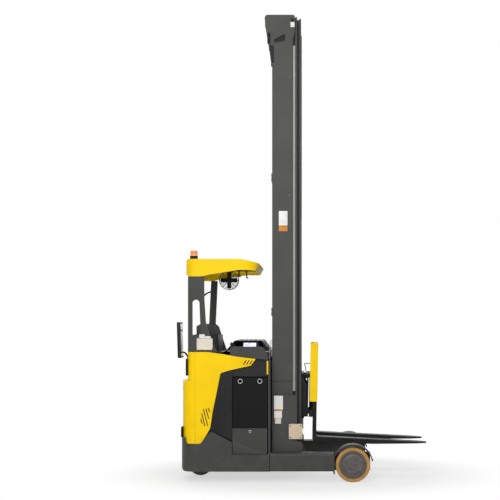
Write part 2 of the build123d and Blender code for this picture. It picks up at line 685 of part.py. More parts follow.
def middle_mast():
    frame = both_sides(rail(1, MAST_FOOT_Z + 14, MAST_TOP_Z - 60))
    rear = OUTER_REAR_X + STAGE_OFFSET_X
    plate = (rear + RAIL_FLANGE + 6, rear + RAIL_FLANGE + 18)
    half = 330.0
    for z in ((300.0, 400.0), (2500.0, 2600.0), (4600.0, 4760.0)):
        frame += block(plate, (-half, half), z)
        for side in (-1, 1):
            near = (side * (half - 12), side * (half + 10))
            frame += block((rear + RAIL_FLANGE, plate[1]), near, z)
    for side in (-1, 1):
        y = side * LIFT_Y
        frame += block((LIFT_X - 24, plate[1]), (y - 40, y + 40), (4700.0, 4722.0))
    return frame + rail_rollers(1, (380.0, 1080.0))


def inner_mast():
    frame = both_sides(rail(2, MAST_FOOT_Z + 20, MAST_TOP_Z - 80))
    rear = OUTER_REAR_X + 2 * STAGE_OFFSET_X
    for z in ((320.0, 420.0), (4560.0, 4700.0)):
        frame += block((rear, rear + 14), (-305.0, 305.0), z)
    foot = block((rear, FREE_X + FREE_BARREL_RADIUS), (-60.0, 60.0), (290.0, 330.0))
    return frame + foot + rail_rollers(2, (400.0, 1060.0))


def lift_barrels():
    barrel = bar_z(LIFT_X, -LIFT_Y, LIFT_BARREL_RADIUS, (MAST_FOOT_Z, LIFT_BARREL_TOP_Z))
    barrel -= bar_z(LIFT_X, -LIFT_Y, LIFT_BORE_RADIUS, (MAST_FOOT_Z + 30, LIFT_BARREL_TOP_Z - 50))
    barrel -= bar_z(LIFT_X, -LIFT_Y, LIFT_ROD_RADIUS + ROD_GAP, (LIFT_BARREL_TOP_Z - 51, LIFT_BARREL_TOP_Z + 1))
    return both_sides(barrel)


def lift_rods():
    return both_sides(bar_z(LIFT_X, -LIFT_Y, LIFT_ROD_RADIUS, (MAST_FOOT_Z + 40, 4700.0)))


def free_lift_barrel():
    barrel = bar_z(FREE_X, 0.0, FREE_BARREL_RADIUS, (330.0, FREE_BARREL_TOP_Z))
    barrel -= bar_z(FREE_X, 0.0, FREE_BORE_RADIUS, (360.0, FREE_BARREL_TOP_Z - 50))
    return barrel - bar_z(FREE_X, 0.0, FREE_ROD_RADIUS + ROD_GAP, (FREE_BARREL_TOP_Z - 51, FREE_BARREL_TOP_Z + 1))


def free_lift_head():
    rod = bar_z(FREE_X, 0.0, FREE_ROD_RADIUS, (650.0, SHEAVE_Z - 20))
    yoke = block((FREE_X - 30, FREE_X + 30), (-60.0, 60.0), (SHEAVE_Z - 30, SHEAVE_Z + 25))
    pin = bar_y(FREE_X, SHEAVE_Z, 14.0, (-CHAIN_Y - 22, CHAIN_Y + 22))
    head = rod + yoke + pin
    for side in (-1, 1):
        y = side * CHAIN_Y
        head += bar_y(FREE_X, SHEAVE_Z, SHEAVE_RADIUS, (y - CHAIN_WIDTH / 2, y + CHAIN_WIDTH / 2))
        head += bar_y(FREE_X, SHEAVE_Z, SHEAVE_RADIUS + 12, (y - 19, y - 14))
        head += bar_y(FREE_X, SHEAVE_Z, SHEAVE_RADIUS + 12, (y + 14, y + 19))
    return head


def free_lift_chain():
    loops = []
    inner = SHEAVE_RADIUS + 0.3
    outer = inner + CHAIN_THICKNESS
    for side in (-1, 1):
        y = (side * CHAIN_Y - CHAIN_WIDTH / 2 + 0.5, side * CHAIN_Y + CHAIN_WIDTH / 2 - 0.5)
        bend = bar_y(FREE_X, SHEAVE_Z, outer, y) - bar_y(FREE_X, SHEAVE_Z, inner, (y[0] - 1, y[1] + 1))
        bend &= block((-400, 400), (y[0] - 1, y[1] + 1), (SHEAVE_Z, SHEAVE_Z + 200))
        front = block((FREE_X + inner, FREE_X + outer), y, (720.0, SHEAVE_Z))
        rear = block((FREE_X - outer, FREE_X - inner), y, (1180.0, SHEAVE_Z))
        loops.append(bend + front + rear)
    return loops[0] + loops[1]


def mast_head():
    outline = [(-388.0, 4683.0), (-388.0, MAST_TOP_Z), (-73.0, MAST_TOP_Z), (-73.0, 4700.0), (-94.0, 4560.0), (-94.0, 4323.0), (-318.0, 4323.0)]
    plate = side_plate(outline, (-OUTER_WEB_Y - 12, -OUTER_WEB_Y), [30.0, 24.0, 24.0, 0, 0, 0, 0])
    plate -= bar_y(-100.0, 4790.0, 15.0, (-OUTER_WEB_Y - 13, -OUTER_WEB_Y + 1))
    heads = both_sides(plate)
    tie = block((-388.0, -376.0), (-OUTER_WEB_Y - 1, OUTER_WEB_Y + 1), (4700.0, 4800.0))
    return heads + tie


# Reach carriage, which runs on rollers between the straddle arms
def reach_carriage():
    outline = [
        (CARRIAGE_REAR_X, CARRIAGE_LOW_Z),
        (CARRIAGE_REAR_X, CARRIAGE_TOP_Z - 6),
        (-180.0, CARRIAGE_TOP_Z),
        (CARRIAGE_FRONT_X, CARRIAGE_TOP_Z - 6),
        (CARRIAGE_FRONT_X, 399.0),
        (-18.0, 399.0),
        (11.0, 360.0),
        (11.0, CARRIAGE_LOW_Z),
    ]
    radii = [20.0, 0, 0, 0, 0, 30.0, 30.0, 20.0]
    plate = side_plate(outline, (-CARRIAGE_OUTER_Y, -CARRIAGE_INNER_Y), radii)
    frame = both_sides(plate)
    beam = block((-300.0, -60.0), (-CARRIAGE_INNER_Y, CARRIAGE_INNER_Y), (CARRIAGE_LOW_Z + 5, MAST_FOOT_Z))
    beam -= block((-288.0, -72.0), (-CARRIAGE_INNER_Y + 15, CARRIAGE_INNER_Y - 15), (CARRIAGE_LOW_Z + 17, MAST_FOOT_Z - 12))
    return frame + beam


def reach_rollers():
    rollers = []
    for x in ROLLER_X:
        for side in (-1, 1):
            y = (side * CARRIAGE_OUTER_Y, side * (CARRIAGE_OUTER_Y + 36))
            roller = bar_y(x, ROLLER_Z, ROLLER_RADIUS, y)
            rollers.append(roller)
    group = rollers[0]
    for roller in rollers[1:]:
        group += roller
    return group


def guide_blocks():
    block_right = block((-135.0, 6.0), (-CARRIAGE_OUTER_Y - 35, -CARRIAGE_OUTER_Y), (427.0, 582.0))
    return both_sides(fillet(block_right.edges().filter_by(Axis.Y), 12.0))


def reach_cylinder():
    barrel = bar_x(REACH_CYLINDER_Y, REACH_CYLINDER_Z, 36.0, (-1010.0, -330.0))
    barrel -= bar_x(REACH_CYLINDER_Y, REACH_CYLINDER_Z, 28.0, (-990.0, -360.0))
    return barrel - bar_x(REACH_CYLINDER_Y, REACH_CYLINDER_Z, 20.0 + ROD_GAP, (-361.0, -329.0))


def reach_rod():
    return bar_x(REACH_CYLINDER_Y, REACH_CYLINDER_Z, 20.0, (-960.0, -300.0))


# Fork carriage
def lift_carriage():
    z = (CROSSBAR_LOW_Z[0], CROSSBAR_HIGH_Z[1])
    frame = block(LIFT_PLATE_X, (-LIFT_PLATE_Y[1], -LIFT_PLATE_Y[0]), z)
    frame = both_sides(frame)
    for bar in (CROSSBAR_LOW_Z, CROSSBAR_HIGH_Z):
        frame += block(CROSSBAR_X, (-LIFT_PLATE_Y[1], LIFT_PLATE_Y[1]), bar)
    for y in (-190.0, 190.0):
        frame += block((CROSSBAR_X[1], HINGE_X + 16), (y - 10, y + 10), (HINGE_Z - 22, HINGE_Z + 22))
    for z_roller in (720.0, 1000.0):
        for side in (-1, 1):
            y = (side * LIFT_PLATE_Y[1], side * (LIFT_PLATE_Y[1] + 38))
            frame += bar_y(-112.3, z_roller, 84.0, y)
    frame -= bar_y(HINGE_X, HINGE_Z, HINGE_RADIUS + 0.2, (-201.0, 201.0))
    return frame


def leaning(shape):
    """The shape turned forward about the tilt hinge, as it stands."""
    hinge = Pos(HINGE_X, 0, HINGE_Z)
    return hinge * Rot(0, LEAN_DEG, 0) * hinge.inverse() * shape


def tilt_frame():
    frame = block(TILT_PLATE_X, (-TILT_HALF_WIDTH, TILT_HALF_WIDTH), TILT_PLATE_Z)
    frame -= block((TILT_PLATE_X[0] - 1, TILT_PLATE_X[1] + 1), (-130.0, 130.0), (760.0, 990.0))
    for side in (-1, 1):
        centre = side * 190.0
        frame -= block((TILT_PLATE_X[0] - 1, TILT_PLATE_X[1] + 1), (centre - 14, centre + 14), (HINGE_Z - 30, HINGE_Z + 30))
        for y in (centre - 30, centre + 30):
            frame += block((HINGE_X - 16, TILT_PLATE_X[0]), (y - 8, y + 8), (HINGE_Z - 20, HINGE_Z + 20))
        frame += bar_y(HINGE_X, HINGE_Z, HINGE_RADIUS, (centre - 30, centre + 30))
    pad_x = (TILT_PLATE_X[1], SHIFT_BAR_X[0] - 0.5)
    for z in ((660.0, 700.0), (1045.0, 1085.0)):
        frame += block(pad_x, (-180.0, -120.0), z)
        frame += block(pad_x, (120.0, 180.0), z)
    return leaning(frame)


def shift_frame():
    frame = block(SHIFT_BAR_X, (-SHIFT_HALF_WIDTH, SHIFT_HALF_WIDTH), (1010.0, 1090.0))
    frame += block(SHIFT_BAR_X, (-SHIFT_HALF_WIDTH, SHIFT_HALF_WIDTH), (640.0, 710.0))
    for y in (-70.0, 70.0):
        frame += block(SHIFT_BAR_X, (y - 20, y + 20), (710.0, 1010.0))
    return leaning(frame)


def load_backrest():
    side = block((84.0, 165.0), (-SHIFT_HALF_WIDTH - 14, -SHIFT_HALF_WIDTH), (802.0, 1416.0))
    side = fillet(side.edges().filter_by(Axis.Y), 14.0)
    frame = both_sides(side)
    frame += block((120.0, 150.0), (-SHIFT_HALF_WIDTH, SHIFT_HALF_WIDTH), (1386.0, 1410.0))
    frame += block((120.0, 150.0), (-SHIFT_HALF_WIDTH, SHIFT_HALF_WIDTH), (1098.0, 1122.0))
    for y in (-212.0, -106.0, 0.0, 106.0, 212.0):
        frame += block((128.0, 142.0), (y - 7, y + 7), (1122.0, 1386.0))
    return leaning(frame)


def fork():
    outline = [
        (SHANK_REAR_X, 380.0),
        (SHANK_REAR_X, SHANK_TOP_Z),
        (SHANK_FRONT_X, SHANK_TOP_Z),
        (SHANK_FRONT_X, 432.0),
        (FORK_TIP_X, 392.0),
        (FORK_TIP_X, 378.0),
        (760.0, 362.0),
    ]
    y = (-FORK_Y - FORK_WIDTH / 2, -FORK_Y + FORK_WIDTH / 2)
    blade = side_plate(outline, y, [34.0, 4.0, 4.0, 16.0, 4.0, 4.0, 300.0])
    tip_cut = plan_plate(
        [(FORK_TIP_X + 5, y[0] - 5), (FORK_TIP_X + 5, y[0] + 38), (FORK_TIP_X - 110, y[0]), (FORK_TIP_X - 110, y[0] - 5)],
        (330.0, 460.0),
    )
    tip_cut_far = plan_plate(
        [(FORK_TIP_X + 5, y[1] + 5), (FORK_TIP_X + 5, y[1] - 38), (FORK_TIP_X - 110, y[1]), (FORK_TIP_X - 110, y[1] + 5)],
        (330.0, 460.0),
    )
    return leaning(blade - tip_cut - tip_cut_far)


PIECES = {
    "chassis_base": chassis_base,
    "drive_tyre": drive_tyre,
    "drive_hub": drive_hub,
    "drive_gearbox": drive_gearbox,
    "drive_motor": drive_motor,
    "platform_floor": platform_floor,
    "floor_mat": floor_mat,
    "battery": battery,
    "side_panel_right": side_panel_right,
    "side_infill_right": side_infill_right,
    "side_panel_left": side_panel_left,
    "rear_cover": rear_cover,
    "housing_wall": housing_wall,
    "backrest_pad": backrest_pad,
    "upper_housing": upper_housing,
    "console_hood": console_hood,
    "console_side_panel": console_side_panel,
    "display": display,
    "steering_wheel": steering_wheel,
    "guard_frame": guard_frame,
    "guard_bars": guard_bars,
    "guard_pillar_right": guard_pillar_right,
    "guard_post_left": guard_post_left,
    "beacon_base": beacon_base,
    "beacon_lens": beacon_lens,
    "fan_cage": fan_cage,
    "fan_rotor": fan_rotor,
    "rear_mirror": rear_mirror,
    "outer_mast": outer_mast,
    "middle_mast": middle_mast,
    "inner_mast": inner_mast,
    "lift_barrels": lift_barrels,
    "lift_rods": lift_rods,
    "free_lift_barrel": free_lift_barrel,
    "free_lift_head": free_lift_head,
    "free_lift_chain": free_lift_chain,
    "mast_head": mast_head,
    "reach_carriage": reach_carriage,
    "reach_rollers": reach_rollers,
    "guide_blocks": guide_blocks,
    "reach_cylinder": reach_cylinder,
    "reach_rod": reach_rod,
    "lift_carriage": lift_carriage,
    "tilt_frame": tilt_frame,
    "shift_frame": shift_frame,
    "load_backrest": load_backrest,
}

HANDED = {
    "wheel_arm": wheel_arm,
    "load_fender": wheel_fender,
    "load_tyre": load_tyre,
    "load_rim": load_rim,
    "battery_lock": battery_lock,
    "fork": fork,
}

for name, make in PIECES.items():
    parts[name] = make()
for name, make in HANDED.items():
    right = make()
    parts[name + "_right"] = right
    parts[name + "_left"] = other_side(right)

os.makedirs("parts", exist_ok=True)
for name, shape in parts.items():
    export_step(shape, f"parts/{name}.step")
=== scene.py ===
"""A stand-on reach truck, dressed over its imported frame. Metres, +X to the fork tips, +Z up."""

import json
import logging
import math
from dataclasses import dataclass
from enum import Enum
from typing import Optional, Sequence

import bmesh
import bpy
from mathutils import Matrix, Vector

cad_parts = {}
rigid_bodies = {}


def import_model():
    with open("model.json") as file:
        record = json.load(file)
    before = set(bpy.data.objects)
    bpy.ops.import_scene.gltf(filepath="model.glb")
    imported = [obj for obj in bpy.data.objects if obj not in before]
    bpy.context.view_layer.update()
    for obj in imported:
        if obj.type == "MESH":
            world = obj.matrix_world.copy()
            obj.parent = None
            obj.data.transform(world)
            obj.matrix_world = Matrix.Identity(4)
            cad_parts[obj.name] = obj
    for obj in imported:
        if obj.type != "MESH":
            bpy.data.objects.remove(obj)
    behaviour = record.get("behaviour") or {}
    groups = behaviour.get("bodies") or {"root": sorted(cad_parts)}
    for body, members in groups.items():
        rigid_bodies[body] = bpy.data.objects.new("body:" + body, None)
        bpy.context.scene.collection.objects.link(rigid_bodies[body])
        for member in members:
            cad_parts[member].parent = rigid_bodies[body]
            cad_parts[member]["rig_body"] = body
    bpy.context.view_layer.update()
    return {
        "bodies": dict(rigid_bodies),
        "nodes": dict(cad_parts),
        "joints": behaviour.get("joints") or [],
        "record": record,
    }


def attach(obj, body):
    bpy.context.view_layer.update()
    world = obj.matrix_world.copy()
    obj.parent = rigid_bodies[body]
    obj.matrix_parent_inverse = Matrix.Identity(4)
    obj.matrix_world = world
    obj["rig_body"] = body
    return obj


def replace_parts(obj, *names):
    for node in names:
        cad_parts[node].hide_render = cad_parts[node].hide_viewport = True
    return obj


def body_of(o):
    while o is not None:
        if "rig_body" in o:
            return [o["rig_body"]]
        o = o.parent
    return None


log = logging.getLogger("reach_truck")

Colour = tuple[float, float, float]
Point = tuple[float, float, float]
Pair = tuple[float, float]
Outline = Sequence[Pair]

WHITE: Colour = (1.0, 1.0, 1.0)
FORWARD: Point = (1, 0, 0)
UP: Point = (0, 0, 1)
DOWN: Point = (0, 0, -1)
SIDES = (-1, 1)
CORNER_STEPS = 6


def toned(colour: Colour, factor: float, lift: float = 0.0) -> Colour:
    """Gives a colour with every part scaled, then raised."""
    return tuple(part * factor + lift for part in colour)


class Value:
    """A socket of a material that takes part in arithmetic by adding Math nodes."""

    def __init__(self, shade: "Shade", socket: bpy.types.NodeSocket) -> None:
        """Wraps a socket.

        Args:
            shade: The material that the socket belongs to.
            socket: An output socket that carries a number.
        """
        self.shade = shade
        self.socket = socket

    def _math(self, operation: str, *values: "Value | float") -> "Value":
        """Adds a Math node.

        Args:
            operation: The node's operation.
            values: What goes into its inputs, in order.

        Returns:
            The node's result.
        """
        node = self.shade.node("ShaderNodeMath", {"operation": operation}, dict(enumerate(values)))
        return Value(self.shade, node.outputs[0])

    def __add__(self, other: "Value | float") -> "Value":
        """Gives the sum."""
        return self._math("ADD", self, other)

    def __radd__(self, other: float) -> "Value":
        """Gives the sum with a number on the left."""
        return self._math("ADD", other, self)

    def __sub__(self, other: "Value | float") -> "Value":
        """Gives the difference."""
        return self._math("SUBTRACT", self, other)

    def __rsub__(self, other: float) -> "Value":
        """Gives the difference from a number."""
        return self._math("SUBTRACT", other, self)

    def __mul__(self, other: "Value | float") -> "Value":
        """Gives the product."""
        return self._math("MULTIPLY", self, other)

    def __rmul__(self, other: float) -> "Value":
        """Gives the product with a number on the left."""
        return self._math("MULTIPLY", other, self)

    def __truediv__(self, other: "Value | float") -> "Value":
        """Gives the quotient."""
        return self._math("DIVIDE", self, other)

    def __pow__(self, other: float) -> "Value":
        """Gives the power."""
        return self._math("POWER", self, other)

    def sine(self) -> "Value":
        """Gives the sine of an angle in radians."""
        return self._math("SINE", self)

    def least(self, other: "Value | float") -> "Value":
        """Gives the smaller of two values."""
        return self._math("MINIMUM", self, other)

    def most(self, other: "Value | float") -> "Value":
        """Gives the larger of two values."""
        return self._math("MAXIMUM", self, other)

    def ramp(self, low: float, high: float) -> "Value":
        """Maps the span from low to high onto 0 to 1, held inside it.

        Args:
            low: The value that becomes 0.
            high: The value that becomes 1.

        Returns:
            The mapped value.
        """
        node = self.shade.node(
            "ShaderNodeMapRange",
            {"clamp": True, "interpolation_type": "SMOOTHSTEP"},
            {"Value": self, "From Min": low, "From Max": high},
        )
        return Value(self.shade, node.outputs[0])


class Shade:
    """One material's node tree round a Principled shader."""

    def __init__(self, name: str) -> None:
        """Starts a material.

        Args:
            name: The material's name.
        """
        self.material = bpy.data.materials.new(name)
        self.material.use_nodes = True
        self.tree = self.material.node_tree
        self.shader = self.tree.nodes["Principled BSDF"]

    def node(
        self, kind: str, settings: Optional[dict] = None, inputs: Optional[dict] = None
    ) -> bpy.types.Node:
        """Adds a node, sets it up, then feeds its sockets.

        Args:
            kind: The node's type.
            settings: Attributes by name.
            inputs: Numbers, colours, sockets or values by the socket's name or number.

        Returns:
            The new node.
        """
        made = self.tree.nodes.new(kind)
        for key, setting in (settings or {}).items():
            setattr(made, key, setting)
        for key, given in (inputs or {}).items():
            self.feed(made.inputs[key], given)
        return made

    def feed(self, socket: bpy.types.NodeSocket, given: object) -> None:
        """Links or sets one input.

        Args:
            socket: The input socket.
            given: A value, a socket, a number or a colour.
        """
        if isinstance(given, Value):
            self.tree.links.new(given.socket, socket)
        elif isinstance(given, bpy.types.NodeSocket):
            self.tree.links.new(given, socket)
        elif socket.type == "RGBA" and len(given) == 3:
            socket.default_value = (*given, 1.0)
        else:
            socket.default_value = given

    def principled(self, **inputs: object) -> None:
        """Feeds the shader; names hold underscores where the sockets have spaces.

        Args:
            inputs: What goes into each named socket.
        """
        for name, given in inputs.items():
            self.feed(self.shader.inputs[name.replace("_", " ")], given)

    def surface(self, factor: "Value | float", first: object, second: object) -> None:
        """Sends a mix of two shaders to the material's surface.

        Args:
            factor: 0 for the first, 1 for the second.
            first: A shader's output.
            second: A shader's output.
        """
        mixed = self.node("ShaderNodeMixShader", inputs={0: factor, 1: first, 2: second})
        self.tree.links.new(mixed.outputs[0], self.tree.nodes["Material Output"].inputs["Surface"])

    def place(self) -> bpy.types.NodeSocket:
        """Gives the point's place in metres."""
        return self.node("ShaderNodeTexCoord").outputs["Object"]

    def axis(self, name: str) -> Value:
        """Gives one coordinate of the point.

        Args:
            name: X, Y or Z.

        Returns:
            The coordinate in metres.
        """
        split = self.node("ShaderNodeSeparateXYZ", inputs={0: self.place()})
        return Value(self, split.outputs[name])

    def stretched(self, scale: Point) -> bpy.types.NodeSocket:
        """Gives the point's place with each axis scaled.

        Args:
            scale: The factor along X, Y and Z.

        Returns:
            The scaled place.
        """
        node = self.node("ShaderNodeVectorMath", {"operation": "MULTIPLY"}, {0: self.place(), 1: scale})
        return node.outputs[0]

    def noise(self, per_metre: float, detail: float = 3.0, rough: float = 0.55, at: object = None) -> Value:
        """Adds cloudy noise from 0 to 1.

        Args:
            per_metre: How many patches lie in a metre.
            detail: The number of finer layers.
            rough: How strong the finer layers are.
            at: Where it is read, if not at the point's own place.

        Returns:
            The noise.
        """
        node = self.node(
            "ShaderNodeTexNoise",
            inputs={
                "Vector": at if at is not None else self.place(),
                "Scale": per_metre,
                "Detail": detail,
                "Roughness": rough,
            },
        )
        return Value(self, node.outputs[0])

    def cells(self, per_metre: float, at: object = None) -> Value:
        """Adds the distance to the nearest of many scattered points.

        Args:
            per_metre: How many cells lie in a metre.
            at: Where it is read, if not at the point's own place.

        Returns:
            The distance, 0 at a cell's middle.
        """
        node = self.node(
            "ShaderNodeTexVoronoi",
            inputs={"Vector": at if at is not None else self.place(), "Scale": per_metre},
        )
        return Value(self, node.outputs["Distance"])

    def mix(self, factor: "Value | float", first: object, second: object) -> bpy.types.NodeSocket:
        """Mixes two colours.

        Args:
            factor: 0 for the first, 1 for the second.
            first: A colour or a colour socket.
            second: A colour or a colour socket.

        Returns:
            The mixed colour.
        """
        node = self.node("ShaderNodeMix", {"data_type": "RGBA"}, {"Factor": factor})
        self.feed(node.inputs[6], first)
        self.feed(node.inputs[7], second)
        return node.outputs[2]

    def rounded(self, radius: float) -> bpy.types.NodeSocket:
        """Gives a normal that rounds hard edges.

        Args:
            radius: The radius in metres.

        Returns:
            The softened normal.
        """
        return self.node("ShaderNodeBevel", {"samples": 4}, {"Radius": radius}).outputs[0]

    def edges(self, rounded: bpy.types.NodeSocket) -> Value:
        """Marks edges, where the rounded normal leaves the true one.

        Args:
            rounded: The softened normal.

        Returns:
            About 0 on flats and up to 0.3 on edges.
        """
        true_normal = self.node("ShaderNodeNewGeometry").outputs["Normal"]
        dot = self.node("ShaderNodeVectorMath", {"operation": "DOT_PRODUCT"}, {0: rounded, 1: true_normal})
        return 1.0 - Value(self, dot.outputs["Value"])

    def bump(self, height: Value, metres: float, normal: object = None) -> bpy.types.NodeSocket:
        """Turns a height into a normal.

        Args:
            height: The height from 0 to 1.
            metres: What 1 stands for.
            normal: The normal that it starts from.

        Returns:
            The bumped normal.
        """
        inputs = {"Height": height, "Distance": metres, "Strength": 1.0}
        if normal is not None:
            inputs["Normal"] = normal
        return self.node("ShaderNodeBump", inputs=inputs).outputs[0]


class Finish:
    """Something that can make a material once and hand it out again."""

    name: str
    _made: dict[str, bpy.types.Material] = {}

    def build(self, shade: Shade) -> None:
        """Dresses the shader.

        Args:
            shade: The material to dress.
        """
        raise NotImplementedError

    def material(self) -> bpy.types.Material:
        """Gives the finish's material, made on first use."""
        if self.name not in self._made:
            shade = Shade(self.name)
            self.build(shade)
            self._made[self.name] = shade.material
        return self._made[self.name]


@dataclass(frozen=True)
class Paint(Finish):
    """Sprayed paint on plate: orange peel, faint clouding, edges recoloured partly as wear and partly as a
    painted highlight, and settled dust.
    """

    name: str
    colour: Colour
    roughness: float = 0.38
    coat: float = 0.15
    specular: float = 0.4
    peel: float = 0.00012
    peel_per_metre: float = 420.0
    edge_radius: float = 0.004
    # The edge colour is partly wear and partly a painted highlight: rounded edges of the dark paints are
    # drawn much paler, as if they caught the light.
    wear: float = 0.25
    edge_wear_and_highlight_colour: Colour = (0.22, 0.22, 0.21)
    dust: float = 0.06

    def build(self, shade: Shade) -> None:
        """Dresses the shader.

        Args:
            shade: The material to dress.
        """
        rounded = shade.rounded(self.edge_radius)
        broad = shade.noise(2.3, 4.0)
        fine = shade.noise(38.0, 5.0, 0.7)
        deeper = toned(self.colour, 0.86)
        base = shade.mix(broad.ramp(0.35, 0.7), self.colour, deeper)
        # Edge mask: partly wear, partly a painted highlight along the edges.
        edge_wear_and_highlight = (shade.edges(rounded) * 6.0 * fine.ramp(0.42, 0.62) * self.wear).least(1.0)
        base = shade.mix(edge_wear_and_highlight, base, self.edge_wear_and_highlight_colour)
        low = (1.0 - shade.axis("Z").ramp(0.05, 0.7)) * shade.noise(9.0, 5.0).ramp(0.4, 0.75)
        base = shade.mix(low * self.dust, base, (0.33, 0.3, 0.25))
        shade.principled(
            Base_Color=base,
            Roughness=broad * 0.08 + fine * 0.06 + (self.roughness - 0.07),
            Specular_IOR_Level=self.specular,
            Coat_Weight=self.coat,
            Coat_Roughness=0.22,
            Normal=shade.bump(shade.noise(self.peel_per_metre, 1.0), self.peel, rounded),
        )


@dataclass(frozen=True)
class Plastic(Finish):
    """Moulded plastic with a fine spark-eroded grain."""

    name: str
    colour: Colour
    roughness: float = 0.5
    grain: float = 0.00009
    per_metre: float = 900.0
    edge_radius: float = 0.003

    def build(self, shade: Shade) -> None:
        """Dresses the shader.

        Args:
            shade: The material to dress.
        """
        rounded = shade.rounded(self.edge_radius)
        broad = shade.noise(3.1, 4.0)
        scuff = shade.noise(16.0, 6.0, 0.7, shade.stretched((1.0, 1.0, 0.3))).ramp(0.58, 0.74)
        paler = toned(self.colour, 1.35, 0.006)
        base = shade.mix(broad.ramp(0.3, 0.75), self.colour, paler)
        base = shade.mix(scuff * 0.25, base, toned(self.colour, 1.8, 0.02))
        shade.principled(
            Specular_IOR_Level=0.15,
            Base_Color=base,
            Roughness=broad * 0.12 + scuff * 0.1 + (self.roughness - 0.08),
            Normal=shade.bump(shade.cells(self.per_metre), self.grain, rounded),
        )


@dataclass(frozen=True)
class Steel(Finish):
    """Bare or plated steel with fine draw marks along one axis."""

    name: str
    colour: Colour
    roughness: float = 0.25
    along: Point = (900.0, 900.0, 12.0)
    marks: float = 0.00003
    tarnish: float = 0.15
    metallic: float = 1.0

    def build(self, shade: Shade) -> None:
        """Dresses the shader.

        Args:
            shade: The material to dress.
        """
        rounded = shade.rounded(0.0015)
        drawn = shade.noise(1.0, 3.0, 0.6, shade.stretched(self.along))
        stain = shade.noise(11.0, 5.0, 0.65).ramp(0.45, 0.8)
        darker = toned(self.colour, 0.45)
        shade.principled(
            Base_Color=shade.mix(stain * self.tarnish, self.colour, darker),
            Metallic=self.metallic,
            Roughness=drawn * 0.16 + stain * 0.15 + (self.roughness - 0.08),
            Normal=shade.bump(drawn, self.marks, rounded),
        )


@dataclass(frozen=True)
class Casting(Finish):
    """Painted cast iron with a pebbled skin."""

    name: str
    colour: Colour
    roughness: float = 0.5

    def build(self, shade: Shade) -> None:
        """Dresses the shader.

        Args:
            shade: The material to dress.
        """
        rounded = shade.rounded(0.004)
        pebble = shade.noise(240.0, 4.0, 0.6)
        blotch = shade.noise(14.0, 5.0, 0.65)
        paler = toned(self.colour, 1.5, 0.01)
        shade.principled(
            Base_Color=shade.mix(blotch.ramp(0.35, 0.75), self.colour, paler),
            Roughness=blotch * 0.2 + (self.roughness - 0.1),
            Coat_Weight=0.2,
            Coat_Roughness=0.25,
            Normal=shade.bump(pebble, 0.0004, rounded),
        )


@dataclass(frozen=True)
class Polyurethane(Finish):
    """Cast polyurethane or rubber tyre, with scuffed tread and clean walls."""

    name: str
    colour: Colour
    scuffed: Colour
    axle_x: float
    axle_z: float
    radius: float

    def build(self, shade: Shade) -> None:
        """Dresses the shader.

        Args:
            shade: The material to dress.
        """
        rounded = shade.rounded(0.004)
        x = shade.axis("X") - self.axle_x
        z = shade.axis("Z") - self.axle_z
        out = (x * x + z * z) ** 0.5
        tread = out.ramp(self.radius - 0.012, self.radius - 0.001)
        speck = shade.noise(120.0, 5.0, 0.7)
        broad = shade.noise(12.0, 4.0)
        deep = toned(self.colour, 0.72)
        base = shade.mix(broad.ramp(0.3, 0.7), self.colour, deep)
        base = shade.mix((tread * (speck.ramp(0.3, 0.7) * 0.6 + 0.35)).least(1.0), base, self.scuffed)
        shade.principled(
            Base_Color=base,
            Roughness=tread * 0.3 + speck * 0.12 + 0.28,
            Coat_Weight=0.1,
            Normal=shade.bump(speck, 0.00025, rounded),
        )


@dataclass(frozen=True)
class Vinyl(Finish):
    """Coated fabric with a leather-like grain."""

    name: str
    colour: Colour
    roughness: float = 0.42

    def build(self, shade: Shade) -> None:
        """Dresses the shader.

        Args:
            shade: The material to dress.
        """
        grain = shade.cells(420.0) * 0.7 + shade.noise(900.0, 2.0) * 0.3
        wear = shade.noise(7.0, 5.0).ramp(0.4, 0.75)
        paler = toned(self.colour, 1.7, 0.008)
        shade.principled(
            Base_Color=shade.mix(wear * 0.7, self.colour, paler),
            Roughness=wear * 0.12 + grain * 0.1 + (self.roughness - 0.1),
            Sheen_Weight=0.08,
            Normal=shade.bump(grain, 0.0005),
        )


@dataclass(frozen=True)
class Nylon(Finish):
    """Machined cast nylon with cutter marks."""

    name: str
    colour: Colour

    def build(self, shade: Shade) -> None:
        """Dresses the shader.

        Args:
            shade: The material to dress.
        """
        marks = shade.noise(1.0, 2.0, 0.5, shade.stretched((30.0, 400.0, 900.0)))
        stain = shade.noise(18.0, 5.0, 0.65)
        darker = toned(self.colour, 0.7)
        shade.principled(
            Base_Color=shade.mix(stain.ramp(0.4, 0.8) * 0.5, self.colour, darker),
            Roughness=stain * 0.15 + 0.4,
            Subsurface_Weight=0.05,
            Normal=shade.bump(marks, 0.0002, shade.rounded(0.003)),
        )


@dataclass(frozen=True)
class Lens(Finish):
    """Moulded clear or tinted plastic with prism rings."""

    name: str
    colour: Colour
    glow: float = 0.25

    def build(self, shade: Shade) -> None:
        """Dresses the shader.

        Args:
            shade: The material to dress.
        """
        rings = (shade.axis("Z") * 900.0).sine() * 0.5 + 0.5
        tint = toned(self.colour, 0.7)
        shade.principled(
            Base_Color=shade.mix(rings, self.colour, tint),
            Roughness=rings * 0.1 + 0.12,
            Transmission_Weight=0.35,
            Coat_Weight=0.6,
            Coat_Roughness=0.05,
            Emission_Color=shade.mix(rings, self.colour, tint),
            Emission_Strength=self.glow,
            Normal=shade.bump(rings, 0.0008),
        )


@dataclass(frozen=True)
class ClearSheet(Finish):
    """Clear polycarbonate with wiped smears."""

    name: str
    colour: Colour
    alpha: float = 0.22

    def build(self, shade: Shade) -> None:
        """Dresses the shader.

        Args:
            shade: The material to dress.
        """
        smear = shade.noise(7.0, 5.0, 0.65, shade.stretched((1.0, 1.0, 3.0)))
        shade.principled(
            Base_Color=shade.mix(smear, self.colour, toned(self.colour, 0.9)),
            Roughness=smear * 0.14 + 0.04,
            Alpha=smear.ramp(0.5, 0.8) * 0.08 + self.alpha,
            Normal=shade.bump(smear, 0.0001, shade.rounded(0.001)),
        )


